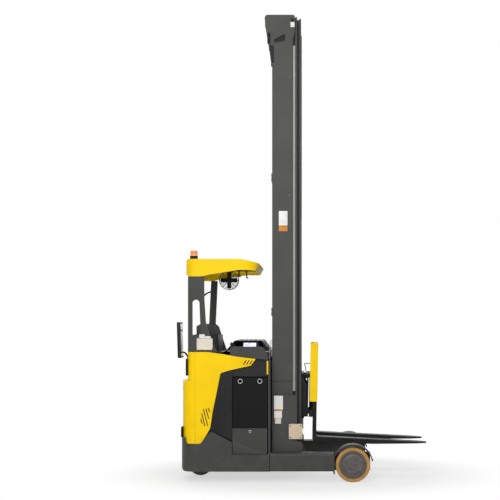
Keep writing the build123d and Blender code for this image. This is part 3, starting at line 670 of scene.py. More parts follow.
@dataclass(frozen=True)
class LitPanel(Finish):
    """A lit display panel with a faint pixel grid and a glow that fades to its rim."""

    name: str
    colour: Colour
    glow: float = 0.9

    def build(self, shade: Shade) -> None:
        """Dresses the shader.

        Args:
            shade: The material to dress.
        """
        rows = (shade.axis("X") * 2600.0).sine() * 0.5 + 0.5
        patch = shade.noise(22.0, 2.0)
        pale = shade.mix(patch.ramp(0.35, 0.65), self.colour, (0.86, 0.87, 1.0))
        lit = shade.mix(rows * 0.15, pale, self.colour)
        shade.principled(
            Base_Color=lit,
            Roughness=patch * 0.1 + 0.12,
            Emission_Color=lit,
            Emission_Strength=self.glow,
            Coat_Weight=0.5,
            Normal=shade.bump(rows, 0.00002),
        )


@dataclass(frozen=True)
class Backdrop(Finish):
    """Pale matt paper that shows white to the camera and to reflections but lights plainly."""

    name: str
    colour: Colour
    near_x: float = 2.3
    near_y: float = 1.7
    shadow: float = 0.4

    def build(self, shade: Shade) -> None:
        """Dresses the shader.

        Args:
            shade: The material to dress.
        """
        faint = shade.noise(0.7, 2.0)
        shade.principled(
            Base_Color=shade.mix(faint, self.colour, toned(self.colour, 0.985)),
            Roughness=0.85,
            Specular_IOR_Level=0.1,
        )
        path = shade.node("ShaderNodeLightPath")
        seen = Value(shade, path.outputs["Is Camera Ray"]).most(Value(shade, path.outputs["Is Glossy Ray"]))
        across = shade.axis("X") / self.near_x
        along = shade.axis("Y") / self.near_y
        near = 1.0 - ((across * across + along * along) ** 0.5).ramp(0.55, 1.0)
        glow = shade.node("ShaderNodeEmission", inputs={"Color": WHITE, "Strength": 1.0})
        shade.surface(seen * (1.0 - near * self.shadow), shade.shader.outputs[0], glow.outputs[0])


class Palette(Enum):
    """Every finish on the truck."""

    # On the dark paints the edge colour is pale: a painted highlight along their edges as well as wear.
    GREY = Paint("grey_paint", (0.046, 0.046, 0.044), 0.5, 0.0, 0.25, wear=0.3)
    MAST = Paint("mast_paint", (0.058, 0.058, 0.056), 0.5, 0.0, 0.25, wear=0.35)
    YELLOW = Paint(
        "yellow_paint", (1.0, 0.66, 0.0), 0.42, 0.0, 0.15, wear=0.1, edge_wear_and_highlight_colour=(0.6, 0.36, 0.02), dust=0.03
    )
    BLACK = Paint("black_paint", (0.01, 0.01, 0.01), 0.45, 0.0, 0.15, wear=0.3, edge_wear_and_highlight_colour=(0.1, 0.1, 0.1))
    # Pale paint for the strips down the mast rails' front corners: a painted highlight.
    RAIL_EDGE_HIGHLIGHT = Paint("rail_edge", (0.3, 0.3, 0.29), 0.4, 0.1, wear=0.1, edge_wear_and_highlight_colour=(0.45, 0.45, 0.44))
    BLACK_PLASTIC = Plastic("black_plastic", (0.012, 0.012, 0.012), 0.46)
    TRAY = Paint(
        "battery_black", (0.005, 0.005, 0.0052), 0.55, 0.0, 0.12, wear=0.1, edge_wear_and_highlight_colour=(0.05, 0.05, 0.05), dust=0.02
    )
    AMBER = Polyurethane("tyre_amber", (0.5, 0.235, 0.03), (0.3, 0.16, 0.05), 0.523, 0.1775, 0.1775)
    DRIVE_RUBBER = Polyurethane(
        "drive_tyre", (0.02, 0.02, 0.02), (0.06, 0.058, 0.055), -1.086, 0.127, 0.127
    )
    CAST = Casting("rim_steel", (0.055, 0.047, 0.043))
    BRIGHT = Steel("bright_steel", (0.72, 0.73, 0.75), 0.16)
    CHAIN = Steel("chain_steel", (0.3, 0.28, 0.26), 0.4, tarnish=0.5)
    NYLON = Nylon("nylon", (0.66, 0.52, 0.37))
    VINYL = Vinyl("pad_vinyl", (0.012, 0.012, 0.013))
    MAT = Plastic("rubber_mat", (0.018, 0.018, 0.018), 0.7, 0.0003, 300.0)
    SCREEN = Plastic("screen", (0.1, 0.12, 0.3), 0.15)
    BEACON = Lens("beacon_orange", (1.0, 0.27, 0.02))
    MIRROR_BLACK = Plastic("mirror_black", (0.011, 0.011, 0.012), 0.35)
    BLACK_RUBBER = Plastic("black_rubber", (0.014, 0.014, 0.014), 0.62, 0.0002, 500.0)
    CLEAR_SCREEN = ClearSheet("clear_screen", (0.9, 0.92, 0.93))
    GLASS = Steel("mirror_glass", (0.86, 0.88, 0.9), 0.1, marks=0.0, tarnish=0.04)
    ZINC = Steel("zinc_plated", (0.5, 0.5, 0.47), 0.3, (60.0, 60.0, 60.0), tarnish=0.3)
    BLACKENED = Steel("blackened_steel", (0.06, 0.06, 0.06), 0.4, (60.0, 60.0, 60.0), metallic=0.8)
    LABEL_WHITE = Plastic("label_white", (0.72, 0.72, 0.69), 0.42, 0.00002, 1500.0, 0.0005)
    LABEL_CREAM = Plastic("label_cream", (0.66, 0.61, 0.5), 0.42, 0.00002, 1500.0, 0.0005)
    LABEL_ORANGE = Plastic("label_orange", (0.5, 0.19, 0.03), 0.42, 0.00002, 1500.0, 0.0005)
    LIT = LitPanel("lit_display", (0.42, 0.4, 0.95))
    STOP_RED = Plastic("stop_red", (0.55, 0.012, 0.01), 0.3)
    # Pale ring between the beacon's base and lens: its colour paints a highlight.
    BEACON_RING_HIGHLIGHT = Plastic("beacon_ring", (0.8, 0.62, 0.4), 0.3)


@dataclass
class Studio:
    """The photograph's camera, a plain pale floor and soft light."""

    camera_at: Point = (0.115, -10.73, 1.637)
    focal_px: float = 990.0
    frame_px: float = 500.0
    vanish_px: Pair = (313.0, 322.0)
    sensor_mm: float = 36.0
    floor_size: float = 60.0
    world_strength: float = 0.3
    aim: Point = (0.0, 0.0, 1.6)
    panels: Sequence[tuple[str, Point, float, float]] = (
        ("key_panel", (-1.8, -9.5, 5.5), 5.0, 485.0),
        ("fill_panel", (4.5, -8.0, 3.5), 5.0, 90.0),
        ("rear_panel", (-2.0, 9.0, 6.0), 6.0, 220.0),
        ("top_panel", (0.0, 0.0, 9.0), 7.0, 140.0),
    )

    def build(self) -> None:
        """Makes the camera, the floor, the lights and the world."""
        self.camera()
        self.floor()
        self.lights()
        self.world()
        bpy.context.scene.view_settings.view_transform = "Standard"
        log.info("studio: camera, floor, lights")

    def camera(self) -> None:
        """Sets the camera level, looking along +Y, with the photograph's framing."""
        data = bpy.data.cameras.new("camera")
        data.sensor_width = self.sensor_mm
        data.lens = self.focal_px / self.frame_px * self.sensor_mm
        data.shift_x = (self.frame_px / 2 - self.vanish_px[0]) / self.frame_px
        data.shift_y = (self.vanish_px[1] - self.frame_px / 2) / self.frame_px
        data.clip_end = 200.0
        camera = bpy.data.objects.new("camera", data)
        camera.location = self.camera_at
        camera.rotation_euler = (math.radians(90), 0, 0)
        bpy.context.collection.objects.link(camera)
        bpy.context.scene.camera = camera

    def floor(self) -> None:
        """Lays the floor as a stage piece."""
        mesh = bpy.data.meshes.new("floor")
        half = self.floor_size / 2
        corners = [(-half, -half, 0), (half, -half, 0), (half, half, 0), (-half, half, 0)]
        mesh.from_pydata(corners, [], [(0, 1, 2, 3)])
        mesh.materials.append(Backdrop("floor_paper", (0.93, 0.93, 0.93)).material())
        floor = bpy.data.objects.new("floor", mesh)
        bpy.context.collection.objects.link(floor)

    def lights(self) -> None:
        """Hangs four soft panels that face the truck's middle."""
        for name, at, size, power in self.panels:
            data = bpy.data.lights.new(name, "AREA")
            data.size = size
            data.energy = power
            light = bpy.data.objects.new(name, data)
            light.location = at
            light.rotation_euler = (Vector(self.aim) - Vector(at)).to_track_quat("-Z", "Y").to_euler()
            bpy.context.collection.objects.link(light)

    def world(self) -> None:
        """Makes a pale world that shows white to the camera and to reflections."""
        world = bpy.data.worlds.new("world")
        world.use_nodes = True
        tree = world.node_tree
        background = tree.nodes["Background"]
        background.inputs["Color"].default_value = (*WHITE, 1.0)
        background.inputs["Strength"].default_value = self.world_strength
        shown = tree.nodes.new("ShaderNodeBackground")
        shown.inputs["Color"].default_value = (*WHITE, 1.0)
        path = tree.nodes.new("ShaderNodeLightPath")
        seen = tree.nodes.new("ShaderNodeMath")
        seen.operation = "MAXIMUM"
        mix = tree.nodes.new("ShaderNodeMixShader")
        tree.links.new(path.outputs["Is Camera Ray"], seen.inputs[0])
        tree.links.new(path.outputs["Is Glossy Ray"], seen.inputs[1])
        tree.links.new(seen.outputs[0], mix.inputs[0])
        tree.links.new(background.outputs[0], mix.inputs[1])
        tree.links.new(shown.outputs[0], mix.inputs[2])
        tree.links.new(mix.outputs[0], tree.nodes["World Output"].inputs[0])
        bpy.context.scene.world = world


def placing(at: Point, toward: Point) -> Matrix:
    """Gives the placement that moves the origin to a point and turns Z toward a direction.

    Args:
        at: Where the origin goes.
        toward: Where Z points.

    Returns:
        The placement.
    """
    turn = Vector(toward).to_track_quat("Z", "Y").to_matrix().to_4x4()
    return Matrix.Translation(Vector(at)) @ turn


def smoothed(points: Sequence[Point], closed: bool, rounds: int) -> list[Vector]:
    """Lays a smooth line through points.

    Args:
        points: What the line goes through.
        closed: Whether it comes back to its start.
        rounds: How many steps lie between two points.

    Returns:
        The points of the line.
    """
    corners = [Vector(point) for point in points]
    count = len(corners)
    line = []
    for index in range(count if closed else count - 1):
        near = []
        for step in (-1, 0, 1, 2):
            at = index + step
            near.append(corners[at % count if closed else min(max(at, 0), count - 1)])
        a, b, c, d = near
        for part in range(rounds):
            t = part / rounds
            bend = (2 * a - 5 * b + 4 * c - d) * t * t + (3 * b - a - 3 * c + d) * t**3
            line.append((2 * b + (c - a) * t + bend) / 2)
    return line if closed else line + [corners[-1]]


def rounded_outline(corners: Outline, radii: Sequence[float]) -> list[Pair]:
    """Rounds the corners of a flat outline.

    Args:
        corners: The sharp corners in order.
        radii: One radius for each corner.

    Returns:
        The rounded outline's points.
    """
    outline: list[Pair] = []
    for index, (corner, radius) in enumerate(zip(corners, radii)):
        if radius == 0:
            outline.append(tuple(corner))
            continue
        here = Vector(corner)
        back = (Vector(corners[index - 1]) - here).normalized()
        onward = (Vector(corners[(index + 1) % len(corners)]) - here).normalized()
        half = back.angle(onward) / 2
        start = here + back * radius / math.tan(half)
        end = here + onward * radius / math.tan(half)
        centre = here + (back + onward).normalized() * radius / math.sin(half)
        for step in range(CORNER_STEPS + 1):
            outward = (start.lerp(end, step / CORNER_STEPS) - centre).normalized()
            outline.append(tuple(centre + outward * radius))
    return outline


def rectangle(low: Pair, high: Pair, radius: float) -> list[Pair]:
    """Gives a rectangle with round corners.

    Args:
        low: Its lowest corner.
        high: Its highest corner.
        radius: The corners' radius.

    Returns:
        The outline's points.
    """
    corners = [low, (high[0], low[1]), high, (low[0], high[1])]
    return rounded_outline(corners, [radius] * 4)


def circle(radius: float, steps: int, centre: Pair) -> list[Pair]:
    """Gives a circle's points.

    Args:
        radius: Its radius.
        steps: How many points it has.
        centre: Its middle.

    Returns:
        The points, from the first axis toward the second.
    """
    turns = [math.tau * step / steps for step in range(steps)]
    return [(centre[0] + radius * math.cos(t), centre[1] + radius * math.sin(t)) for t in turns]


def mirrored(span: Pair, sign: int) -> Pair:
    """Gives a span on the right side for -1 and on the left for 1, its lower end first."""
    return tuple(sorted(sign * end for end in span))


class Solid:
    """Collects closed shapes of several finishes and hands them over as one smooth piece."""

    ORDER = {"X": lambda u, v, w: (w, u, v), "Y": lambda u, v, w: (u, w, v), "Z": lambda u, v, w: (u, v, w)}

    def __init__(self, name: str, finish: Palette) -> None:
        """Starts an empty piece.

        Args:
            name: The piece's name.
            finish: The finish of its first shapes.
        """
        self.name = name
        self.finishes = [finish]
        self.index = 0
        self.frame = Matrix()
        self.points: list[Vector] = []
        self.faces: list[list[int]] = []
        self.indices: list[int] = []

    def using(self, finish: Palette) -> "Solid":
        """Sets the finish of the shapes that follow.

        Args:
            finish: The finish.

        Returns:
            The piece itself.
        """
        if finish not in self.finishes:
            self.finishes.append(finish)
        self.index = self.finishes.index(finish)
        return self

    def within(self, frame: Matrix) -> "Solid":
        """Sets the placement of the shapes that follow.

        Args:
            frame: The placement.

        Returns:
            The piece itself.
        """
        self.frame = frame
        return self

    def add(self, part: bmesh.types.BMesh, at: Matrix = Matrix()) -> "Solid":
        """Takes in a shape and frees it.

        Args:
            part: The shape.
            at: Its placement within the frame.

        Returns:
            The piece itself.
        """
        part.verts.index_update()
        base = len(self.points)
        placed = self.frame @ at
        self.points += [placed @ corner.co for corner in part.verts]
        for face in part.faces:
            self.faces.append([base + corner.index for corner in face.verts])
            self.indices.append(self.index)
        part.free()
        return self

    def prism(
        self,
        outline: Outline,
        span: Pair,
        axis: str = "Y",
        bevel: float = 0.0,
        segments: int = 2,
    ) -> "Solid":
        """Adds an outline drawn out along an axis.

        Args:
            outline: Points in the plane of the other two axes, in alphabetical order.
            span: Where it starts and ends along the axis.
            axis: X, Y or Z.
            bevel: How far its edges are rounded.
            segments: The rounding's steps.

        Returns:
            The piece itself.
        """
        part = bmesh.new()
        low, high = ([part.verts.new(self.ORDER[axis](u, v, w)) for u, v in outline] for w in span)
        part.faces.new(low)
        part.faces.new(high)
        for index, corner in enumerate(low):
            after = (index + 1) % len(low)
            part.faces.new((corner, low[after], high[after], high[index]))
        bmesh.ops.recalc_face_normals(part, faces=part.faces)
        if bevel > 0:
            edges = list(part.edges)
            how = {"profile": 0.5, "affect": "EDGES", "clamp_overlap": True}
            bmesh.ops.bevel(part, geom=edges, offset=bevel, segments=segments, **how)
        return self.add(part)

    def slab(
        self,
        low: Pair,
        high: Pair,
        radius: float,
        span: Pair,
        axis: str,
        bevel: float = 0.0,
        segments: int = 2,
    ) -> "Solid":
        """Adds a rectangle with round corners, drawn out along an axis.

        Args:
            low: The rectangle's lowest corner.
            high: Its highest corner.
            radius: Its corners' radius.
            span: Where it starts and ends along the axis.
            axis: X, Y or Z.
            bevel: How far its edges are rounded.
            segments: The rounding's steps.

        Returns:
            The piece itself.
        """
        return self.prism(rectangle(low, high, radius), span, axis, bevel, segments)

    def pierced(
        self,
        outline: Outline,
        holes: Sequence[Outline],
        span: Pair,
        axis: str = "Y",
    ) -> "Solid":
        """Adds a plate with openings.

        Args:
            outline: The plate's outline.
            holes: The openings' outlines.
            span: Where it starts and ends along the axis.
            axis: X, Y or Z.

        Returns:
            The piece itself.
        """
        part = bmesh.new()
        sides = []
        for level in span:
            loops = [
                [part.verts.new(self.ORDER[axis](u, v, level)) for u, v in loop] for loop in (outline, *holes)
            ]
            edges = [part.edges.new((loop[at - 1], loop[at])) for loop in loops for at in range(len(loop))]
            bmesh.ops.triangle_fill(part, use_beauty=True, edges=edges)
            sides.append(loops)
        for low, high in zip(*sides):
            for at in range(len(low)):
                part.faces.new((low[at - 1], low[at], high[at], high[at - 1]))
        return self.add(part)

    def cup(
        self,
        outer: Outline,
        inner: Outline,
        heights: tuple[float, float, float],
    ) -> "Solid":
        """Adds an open-topped box with a wall of even thickness.

        Args:
            outer: The outside's plan.
            inner: The inside's plan, point for point with the outside's.
            heights: The foot, the inside's floor and the rim.

        Returns:
            The piece itself.
        """
        foot, floor, rim = heights
        part = bmesh.new()
        levels = ((outer, foot), (outer, rim - 0.002), (outer, rim), (inner, rim), (inner, floor))
        rings = [[part.verts.new((x, y, z)) for x, y in plan] for plan, z in levels]
        for low, high in zip(rings, rings[1:]):
            for index, corner in enumerate(low):
                after = (index + 1) % len(low)
                part.faces.new((corner, low[after], high[after], high[index]))
        part.faces.new(rings[0])
        part.faces.new(rings[-1])
        return self.add(part)

    def turned(
        self,
        profile: Outline,
        at: Point,
        toward: Point,
        steps: int = 32,
        looped: bool = False,
    ) -> "Solid":
        """Adds a profile turned about a line.

        Args:
            profile: Radius and height pairs.
            at: Where the line starts.
            toward: Where height grows.
            steps: How many sides the turn has.
            looped: Whether the profile closes on itself, as a ring's does.

        Returns:
            The piece itself.
        """
        part = bmesh.new()
        rings = []
        for radius, height in profile:
            count = steps if radius > 1e-6 else 1
            turns = [math.tau * step / steps for step in range(count)]
            ring = [(radius * math.cos(t), radius * math.sin(t), height) for t in turns]
            rings.append([part.verts.new(place) for place in ring])
        pairs = list(zip(rings, rings[1:])) + ([(rings[-1], rings[0])] if looped else [])
        for low, high in pairs:
            for step in range(steps):
                start, end = (low[at % len(low)] for at in (step, step + 1))
                far, back = (high[at % len(high)] for at in (step + 1, step))
                unique = list(dict.fromkeys((start, end, far, back)))
                if len(unique) > 2:
                    part.faces.new(unique)
        if not looped:
            for end in (rings[0], rings[-1]):
                if len(end) > 2:
                    part.faces.new(end)
        return self.add(part, placing(at, toward))

    def tube(
        self, points: Sequence[Point], radius: float, closed: bool = False, sides: int = 10, rounds: int = 6
    ) -> "Solid":
        """Adds a round bar along a smooth line.

        Args:
            points: What the line goes through.
            radius: The bar's radius.
            closed: Whether it comes back to its start.
            sides: The bar's sides.
            rounds: Steps between two points.

        Returns:
            The piece itself.
        """
        line = smoothed(points, closed, rounds)
        part = bmesh.new()
        rings = []
        across = None
        for index, point in enumerate(line):
            before = line[index - 1] if closed or index else point
            after = line[(index + 1) % len(line)] if closed or index < len(line) - 1 else point
            along = (after - before).normalized()
            across = along.orthogonal() if across is None else across - along * across.dot(along)
            across.normalize()
            side = along.cross(across)
            turns = [math.tau * step / sides for step in range(sides)]
            ring = [point + (across * math.cos(t) + side * math.sin(t)) * radius for t in turns]
            rings.append([part.verts.new(place) for place in ring])
        for low, high in list(zip(rings, rings[1:])) + ([(rings[-1], rings[0])] if closed else []):
            for step in range(sides):
                after = (step + 1) % sides
                part.faces.new((low[step], low[after], high[after], high[step]))
        if not closed:
            part.faces.new(rings[0])
            part.faces.new(rings[-1])
        return self.add(part)

    def bolt(self, at: Point, toward: Point, across: float = 0.019) -> "Solid":
        """Adds a washer and a chamfered hexagon head.

        Args:
            at: The middle of the washer's foot.
            toward: Where the head points.
            across: The head's width over its flats.

        Returns:
            The piece itself.
        """
        reach = across / math.sqrt(3)
        thick = across * 0.14
        washer = [(reach * 1.5, -0.0005), (reach * 1.5, thick * 0.7), (reach * 1.42, thick)]
        top = thick + across * 0.55
        head = [(reach, thick), (reach, top - across * 0.08), (reach * 0.82, top)]
        return self.turned(washer, at, toward, 20).turned(head, at, toward, 6)

    def screw(self, at: Point, toward: Point, radius: float = 0.006) -> "Solid":
        """Adds a low round head with a socket.

        Args:
            at: The middle of the head's foot.
            toward: Where the head points.
            radius: The head's radius.

        Returns:
            The piece itself.
        """
        socket = radius * 0.45
        profile = [(radius, -0.0004), (radius, radius * 0.2), (radius * 0.8, radius * 0.42)]
        profile += [(socket, radius * 0.46), (socket * 0.9, radius * 0.05), (0.0, radius * 0.03)]
        return self.turned(profile, at, toward, 18)

    def leaf_chain(self, line: Sequence[Vector], deep: float, wide: float) -> "Solid":
        """Adds a leaf chain whose pins run along Y.

        Args:
            line: The pins' places, a pitch apart.
            deep: The leaves' depth.
            wide: The chain's width.

        Returns:
            The piece itself.
        """
        leaf = wide / 5 * 0.92
        half = deep / 2
        for index, (start, end) in enumerate(zip(line, line[1:])):
            along = end - start
            pitch = along.length
            turns = [math.pi * step / 5 - math.pi / 2 for step in range(6)]
            outline = [(pitch + half * math.cos(t), half * math.sin(t)) for t in turns]
            outline += [(-half * math.cos(t), -half * math.sin(t)) for t in turns]
            tilt = Matrix.Rotation(-math.atan2(along.z, along.x), 4, "Y")
            self.within(Matrix.Translation(start) @ tilt)
            for row in (-2, 0, 2) if index % 2 else (-1, 1):
                middle = row * wide / 5
                self.prism(outline, (middle - leaf / 2, middle + leaf / 2), "Y")
            pin = deep * 0.3
            self.turned([(pin, -wide * 0.54), (pin, wide * 0.54)], (0, 0, 0), (0, 1, 0), 8)
        return self.within(Matrix())

    def piece(self, body: str, sharp: float = 32.0) -> bpy.types.Object:
        """Makes the object and lets it ride.

        Args:
            body: The body that carries it.
            sharp: Edges steeper than this many degrees stay crisp.

        Returns:
            The new object.
        """
        mesh = bpy.data.meshes.new(self.name)
        mesh.from_pydata(self.points, [], self.faces)
        mesh.polygons.foreach_set("material_index", self.indices)
        closed = bmesh.new()
        closed.from_mesh(mesh)
        bmesh.ops.recalc_face_normals(closed, faces=closed.faces)
        closed.to_mesh(mesh)
        closed.free()
        mesh.shade_smooth()
        mesh.set_sharp_from_angle(angle=math.radians(sharp))
        for finish in self.finishes:
            mesh.materials.append(finish.value.material())
        made = bpy.data.objects.new(self.name, mesh)
        bpy.context.collection.objects.link(made)
        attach(made, body)
        log.info("%s: %d faces on %s", self.name, len(mesh.polygons), body)
        return made


class Probe:
    """Finds where the frame's own surface lies, so that what is added seats on it."""

    @staticmethod
    def find(start: Point, toward: Point) -> tuple[Vector, Vector]:
        """Gives the first place that a line meets.

        Args:
            start: Where the line starts.
            toward: Its direction.

        Returns:
            The place and the surface's normal there.
        """
        layer = bpy.context.view_layer
        layer.update()
        cast = bpy.context.scene.ray_cast(layer.depsgraph, Vector(start), Vector(toward))
        met, place, normal = cast[:3]
        if not met:
            raise ValueError(f"nothing lies in line from {start}")
        return place, normal

    @classmethod
    def side(cls, x: float, z: float, sign: int) -> Point:
        """Gives the truck's outermost place at one height and length.

        Args:
            x: The place along the truck.
            z: The height.
            sign: -1 for the right side, 1 for the left.

        Returns:
            The place.
        """
        return tuple(cls.find((x, sign * 2.0, z), (0.0, -sign, 0.0))[0])


def stick_labels(
    name: str, body: str, face: Optional[float], places: Sequence[tuple[Palette, Pair, Pair]]
) -> None:
    """Sticks blank labels on the right side.

    Args:
        name: The piece's name.
        body: The body that carries it.
        face: The Y of the surface, or None to seat each label where a line meets the truck.
        places: Each label's finish, lowest corner and highest corner in X and Z.
    """
    unit = Solid(name, places[0][0])
    for finish, low, high in places:
        y = face if face is not None else Probe.side((low[0] + high[0]) / 2, (low[1] + high[1]) / 2, -1)[1]
        unit.using(finish).slab(low, high, 0.004, (y - 0.0009, y + 0.0003), "Y", 0.0003, 1)
    unit.piece(body)


@dataclass
class BackrestPad:
    """The driver's padded backrest with its piping, blown up by a cloth simulation."""

    corners: Outline = (
        (-1.151, 0.969), (-0.832, 0.969), (-0.832, 1.328), (-0.928, 1.613), (-1.151, 1.613),
    )
    radii: Sequence[float] = (0.03, 0.03, 0.06, 0.06, 0.055)
    depth: Pair = (0.052, 0.131)
    voxel: float = 0.007
    cap: float = 0.012
    piping: float = 0.0035
    pressure: float = 4.0
    moments: int = 20

    def build(self) -> None:
        """Makes the cushion, then the piping round its two faces."""
        outline = rounded_outline(self.corners, self.radii)
        shape = Solid("backrest_cushion", Palette.VINYL)
        cushion = shape.prism(outline, self.depth, "Y", 0.014, 3).piece("chassis")
        self.inflate(cushion)
        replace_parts(cushion, "backrest_pad")
        trim = Solid("backrest_piping", Palette.BLACK_RUBBER)
        for y in (self.depth[0] + 0.003, self.depth[1] - 0.003):
            trim.tube([(x, y, z) for x, z in outline], self.piping, True, 8, 2)
        trim.piece("chassis")

    def inflate(self, cushion: bpy.types.Object) -> None:
        """Remeshes the cushion and blows it up, no point moving past the cap.

        Args:
            cushion: The cushion.
        """
        remesh = cushion.modifiers.new("remesh", "REMESH")
        remesh.mode = "VOXEL"
        remesh.voxel_size = self.voxel
        self.settle(cushion)
        rest = [corner.co.copy() for corner in cushion.data.vertices]
        held = cushion.vertex_groups.new(name="held")
        rear = [corner.index for corner in cushion.data.vertices if corner.co.y < self.depth[0] + 0.002]
        held.add(rear, 1.0, "REPLACE")
        cloth = cushion.modifiers.new("cloth", "CLOTH")
        cloth.settings.use_pressure = True
        cloth.settings.uniform_pressure_force = self.pressure
        cloth.settings.effector_weights.gravity = 0.0
        cloth.settings.vertex_group_mass = "held"
        cloth.point_cache.frame_start = 1
        cloth.point_cache.frame_end = self.moments
        for moment in range(1, self.moments + 1):
            bpy.context.scene.frame_set(moment)
        self.settle(cushion)
        bpy.context.scene.frame_set(1)
        for corner, start in zip(cushion.data.vertices, rest):
            moved = corner.co - start
            if moved.length > self.cap:
                corner.co = start + moved.normalized() * self.cap
        smoother = cushion.modifiers.new("finer", "SUBSURF")
        smoother.levels = 1
        smoother.render_levels = 1

    @staticmethod
    def settle(piece: bpy.types.Object) -> None:
        """Makes the modifiers' result the piece's own mesh.

        Args:
            piece: The piece.
        """
        bpy.context.view_layer.update()
        graph = bpy.context.evaluated_depsgraph_get()
        fresh = bpy.data.meshes.new_from_object(piece.evaluated_get(graph))
        fresh.shade_smooth()
        piece.modifiers.clear()
        piece.data = fresh


@dataclass
class Console:
    """The display, the fingertip switches, the stop button and the screws on the console."""

    display_at: Point = (-0.546, -0.17945, 1.38945)
    display_size: Pair = (0.178, 0.075)
    display_proud: float = 0.006
    key_pitch: float = 0.0155
    switch_x: Sequence[float] = (-0.690, -0.636, -0.582, -0.528)
    switch_y: float = 0.46
    top_z: float = 1.440
    stop_y: float = 0.16
    stop_z: float = 1.385
    stop_head: Outline = (
        (0.012, 0.018), (0.02, 0.02), (0.0205, 0.026), (0.017, 0.031), (0.009, 0.033), (0.0, 0.0335),
    )
    button: Outline = ((0.011, -0.001), (0.011, 0.003), (0.009, 0.005), (0.0, 0.0055))
    side_screws: Outline = ((-0.705, 1.315), (-0.375, 1.272), (-0.54, 1.288), (-0.63, 1.352), (-0.43, 1.352))
    top_screws: Outline = ((-0.69, -0.05), (-0.69, 0.545), (-0.46, -0.05), (-0.46, 0.545))

    def build(self) -> None:
        """Makes everything on the console."""
        self.display()
        self.controls()
        self.screws()

    def display(self) -> None:
        """Frames the display on the hood's slope and lights it."""
        wide, high = (part / 2 for part in self.display_size)
        proud = self.display_proud
        slope = Matrix.Translation(self.display_at) @ Matrix.Rotation(math.radians(45), 4, "X")
        unit = Solid("display_bezel", Palette.BLACK_PLASTIC).within(slope)
        unit.slab((-wide, -high), (wide, high), 0.004, (-proud, proud), "Z", 0.001)
        low, top = proud - 0.001, proud + 0.004
        for start, end in (
            ((-wide, -high), (wide, -high + 0.009)),
            ((-wide, high - 0.009), (wide, high)),
            ((-wide, -high), (-wide + 0.011, high)),
            ((wide - 0.034, -high), (wide, high)),
        ):
            unit.slab(start, end, 0.0035, (low, top), "Z", 0.0012)
        pane = (-wide + 0.010, -high + 0.008), (wide - 0.033, high - 0.008)
        unit.using(Palette.LIT).slab(*pane, 0.003, (low, top - 0.002), "Z")
        unit.using(Palette.BLACK_RUBBER)
        for step in range(4):
            v = (step - 1.5) * self.key_pitch
            key = (wide - 0.027, v - 0.0055), (wide - 0.007, v + 0.0055)
            unit.slab(*key, 0.003, (top - 0.001, top + 0.0022), "Z", 0.0009)
        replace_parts(unit.piece("chassis"), "display")

    def controls(self) -> None:
        """Sets a switch for each mast function on top, and the stop button on the driver's side."""
        unit = Solid("console_controls", Palette.BLACK_RUBBER)
        y, z = self.switch_y, self.top_z
        foot, rim = z + 0.0015, z + 0.0045
        for x in self.switch_x:
            pad = (x - 0.014, y - 0.024), (x + 0.014, y + 0.024)
            unit.using(Palette.BLACK_RUBBER).slab(*pad, 0.006, (z - 0.0005, z + 0.002), "Z", 0.0008)
            rocker = [(x - 0.009, foot), (x + 0.009, foot), (x + 0.009, rim), (x, rim - 0.001)]
            rocker.append((x - 0.009, rim))
            unit.using(Palette.BLACK_PLASTIC).prism(rocker, (y - 0.018, y + 0.018), "Y", 0.0006, 1)
        at, out = Probe.find((-1.2, self.stop_y, self.stop_z), FORWARD)
        unit.using(Palette.LABEL_CREAM).turned([(0.03, -0.001), (0.03, 0.003), (0.028, 0.004)], at, out)
        unit.using(Palette.BLACK_PLASTIC).turned([(0.014, 0.003), (0.014, 0.022)], at, out)
        unit.using(Palette.STOP_RED).turned(self.stop_head, at, out)
        unit.using(Palette.BLACK_PLASTIC)
        for step in range(3):
            start = (-1.2, self.stop_y - 0.08 - step * 0.04, self.stop_z)
            unit.turned(self.button, *Probe.find(start, FORWARD), 24)
        unit.piece("chassis")

    def screws(self) -> None:
        """Fixes the side panel and the hood with screws."""
        unit = Solid("console_screws", Palette.BLACKENED)
        for x, z in self.side_screws:
            unit.screw(Probe.side(x, z, -1), (0, -1, 0), 0.006)
        for x, y in self.top_screws:
            unit.screw(*Probe.find((x, y, 1.9), DOWN), 0.005)
        unit.piece("chassis")


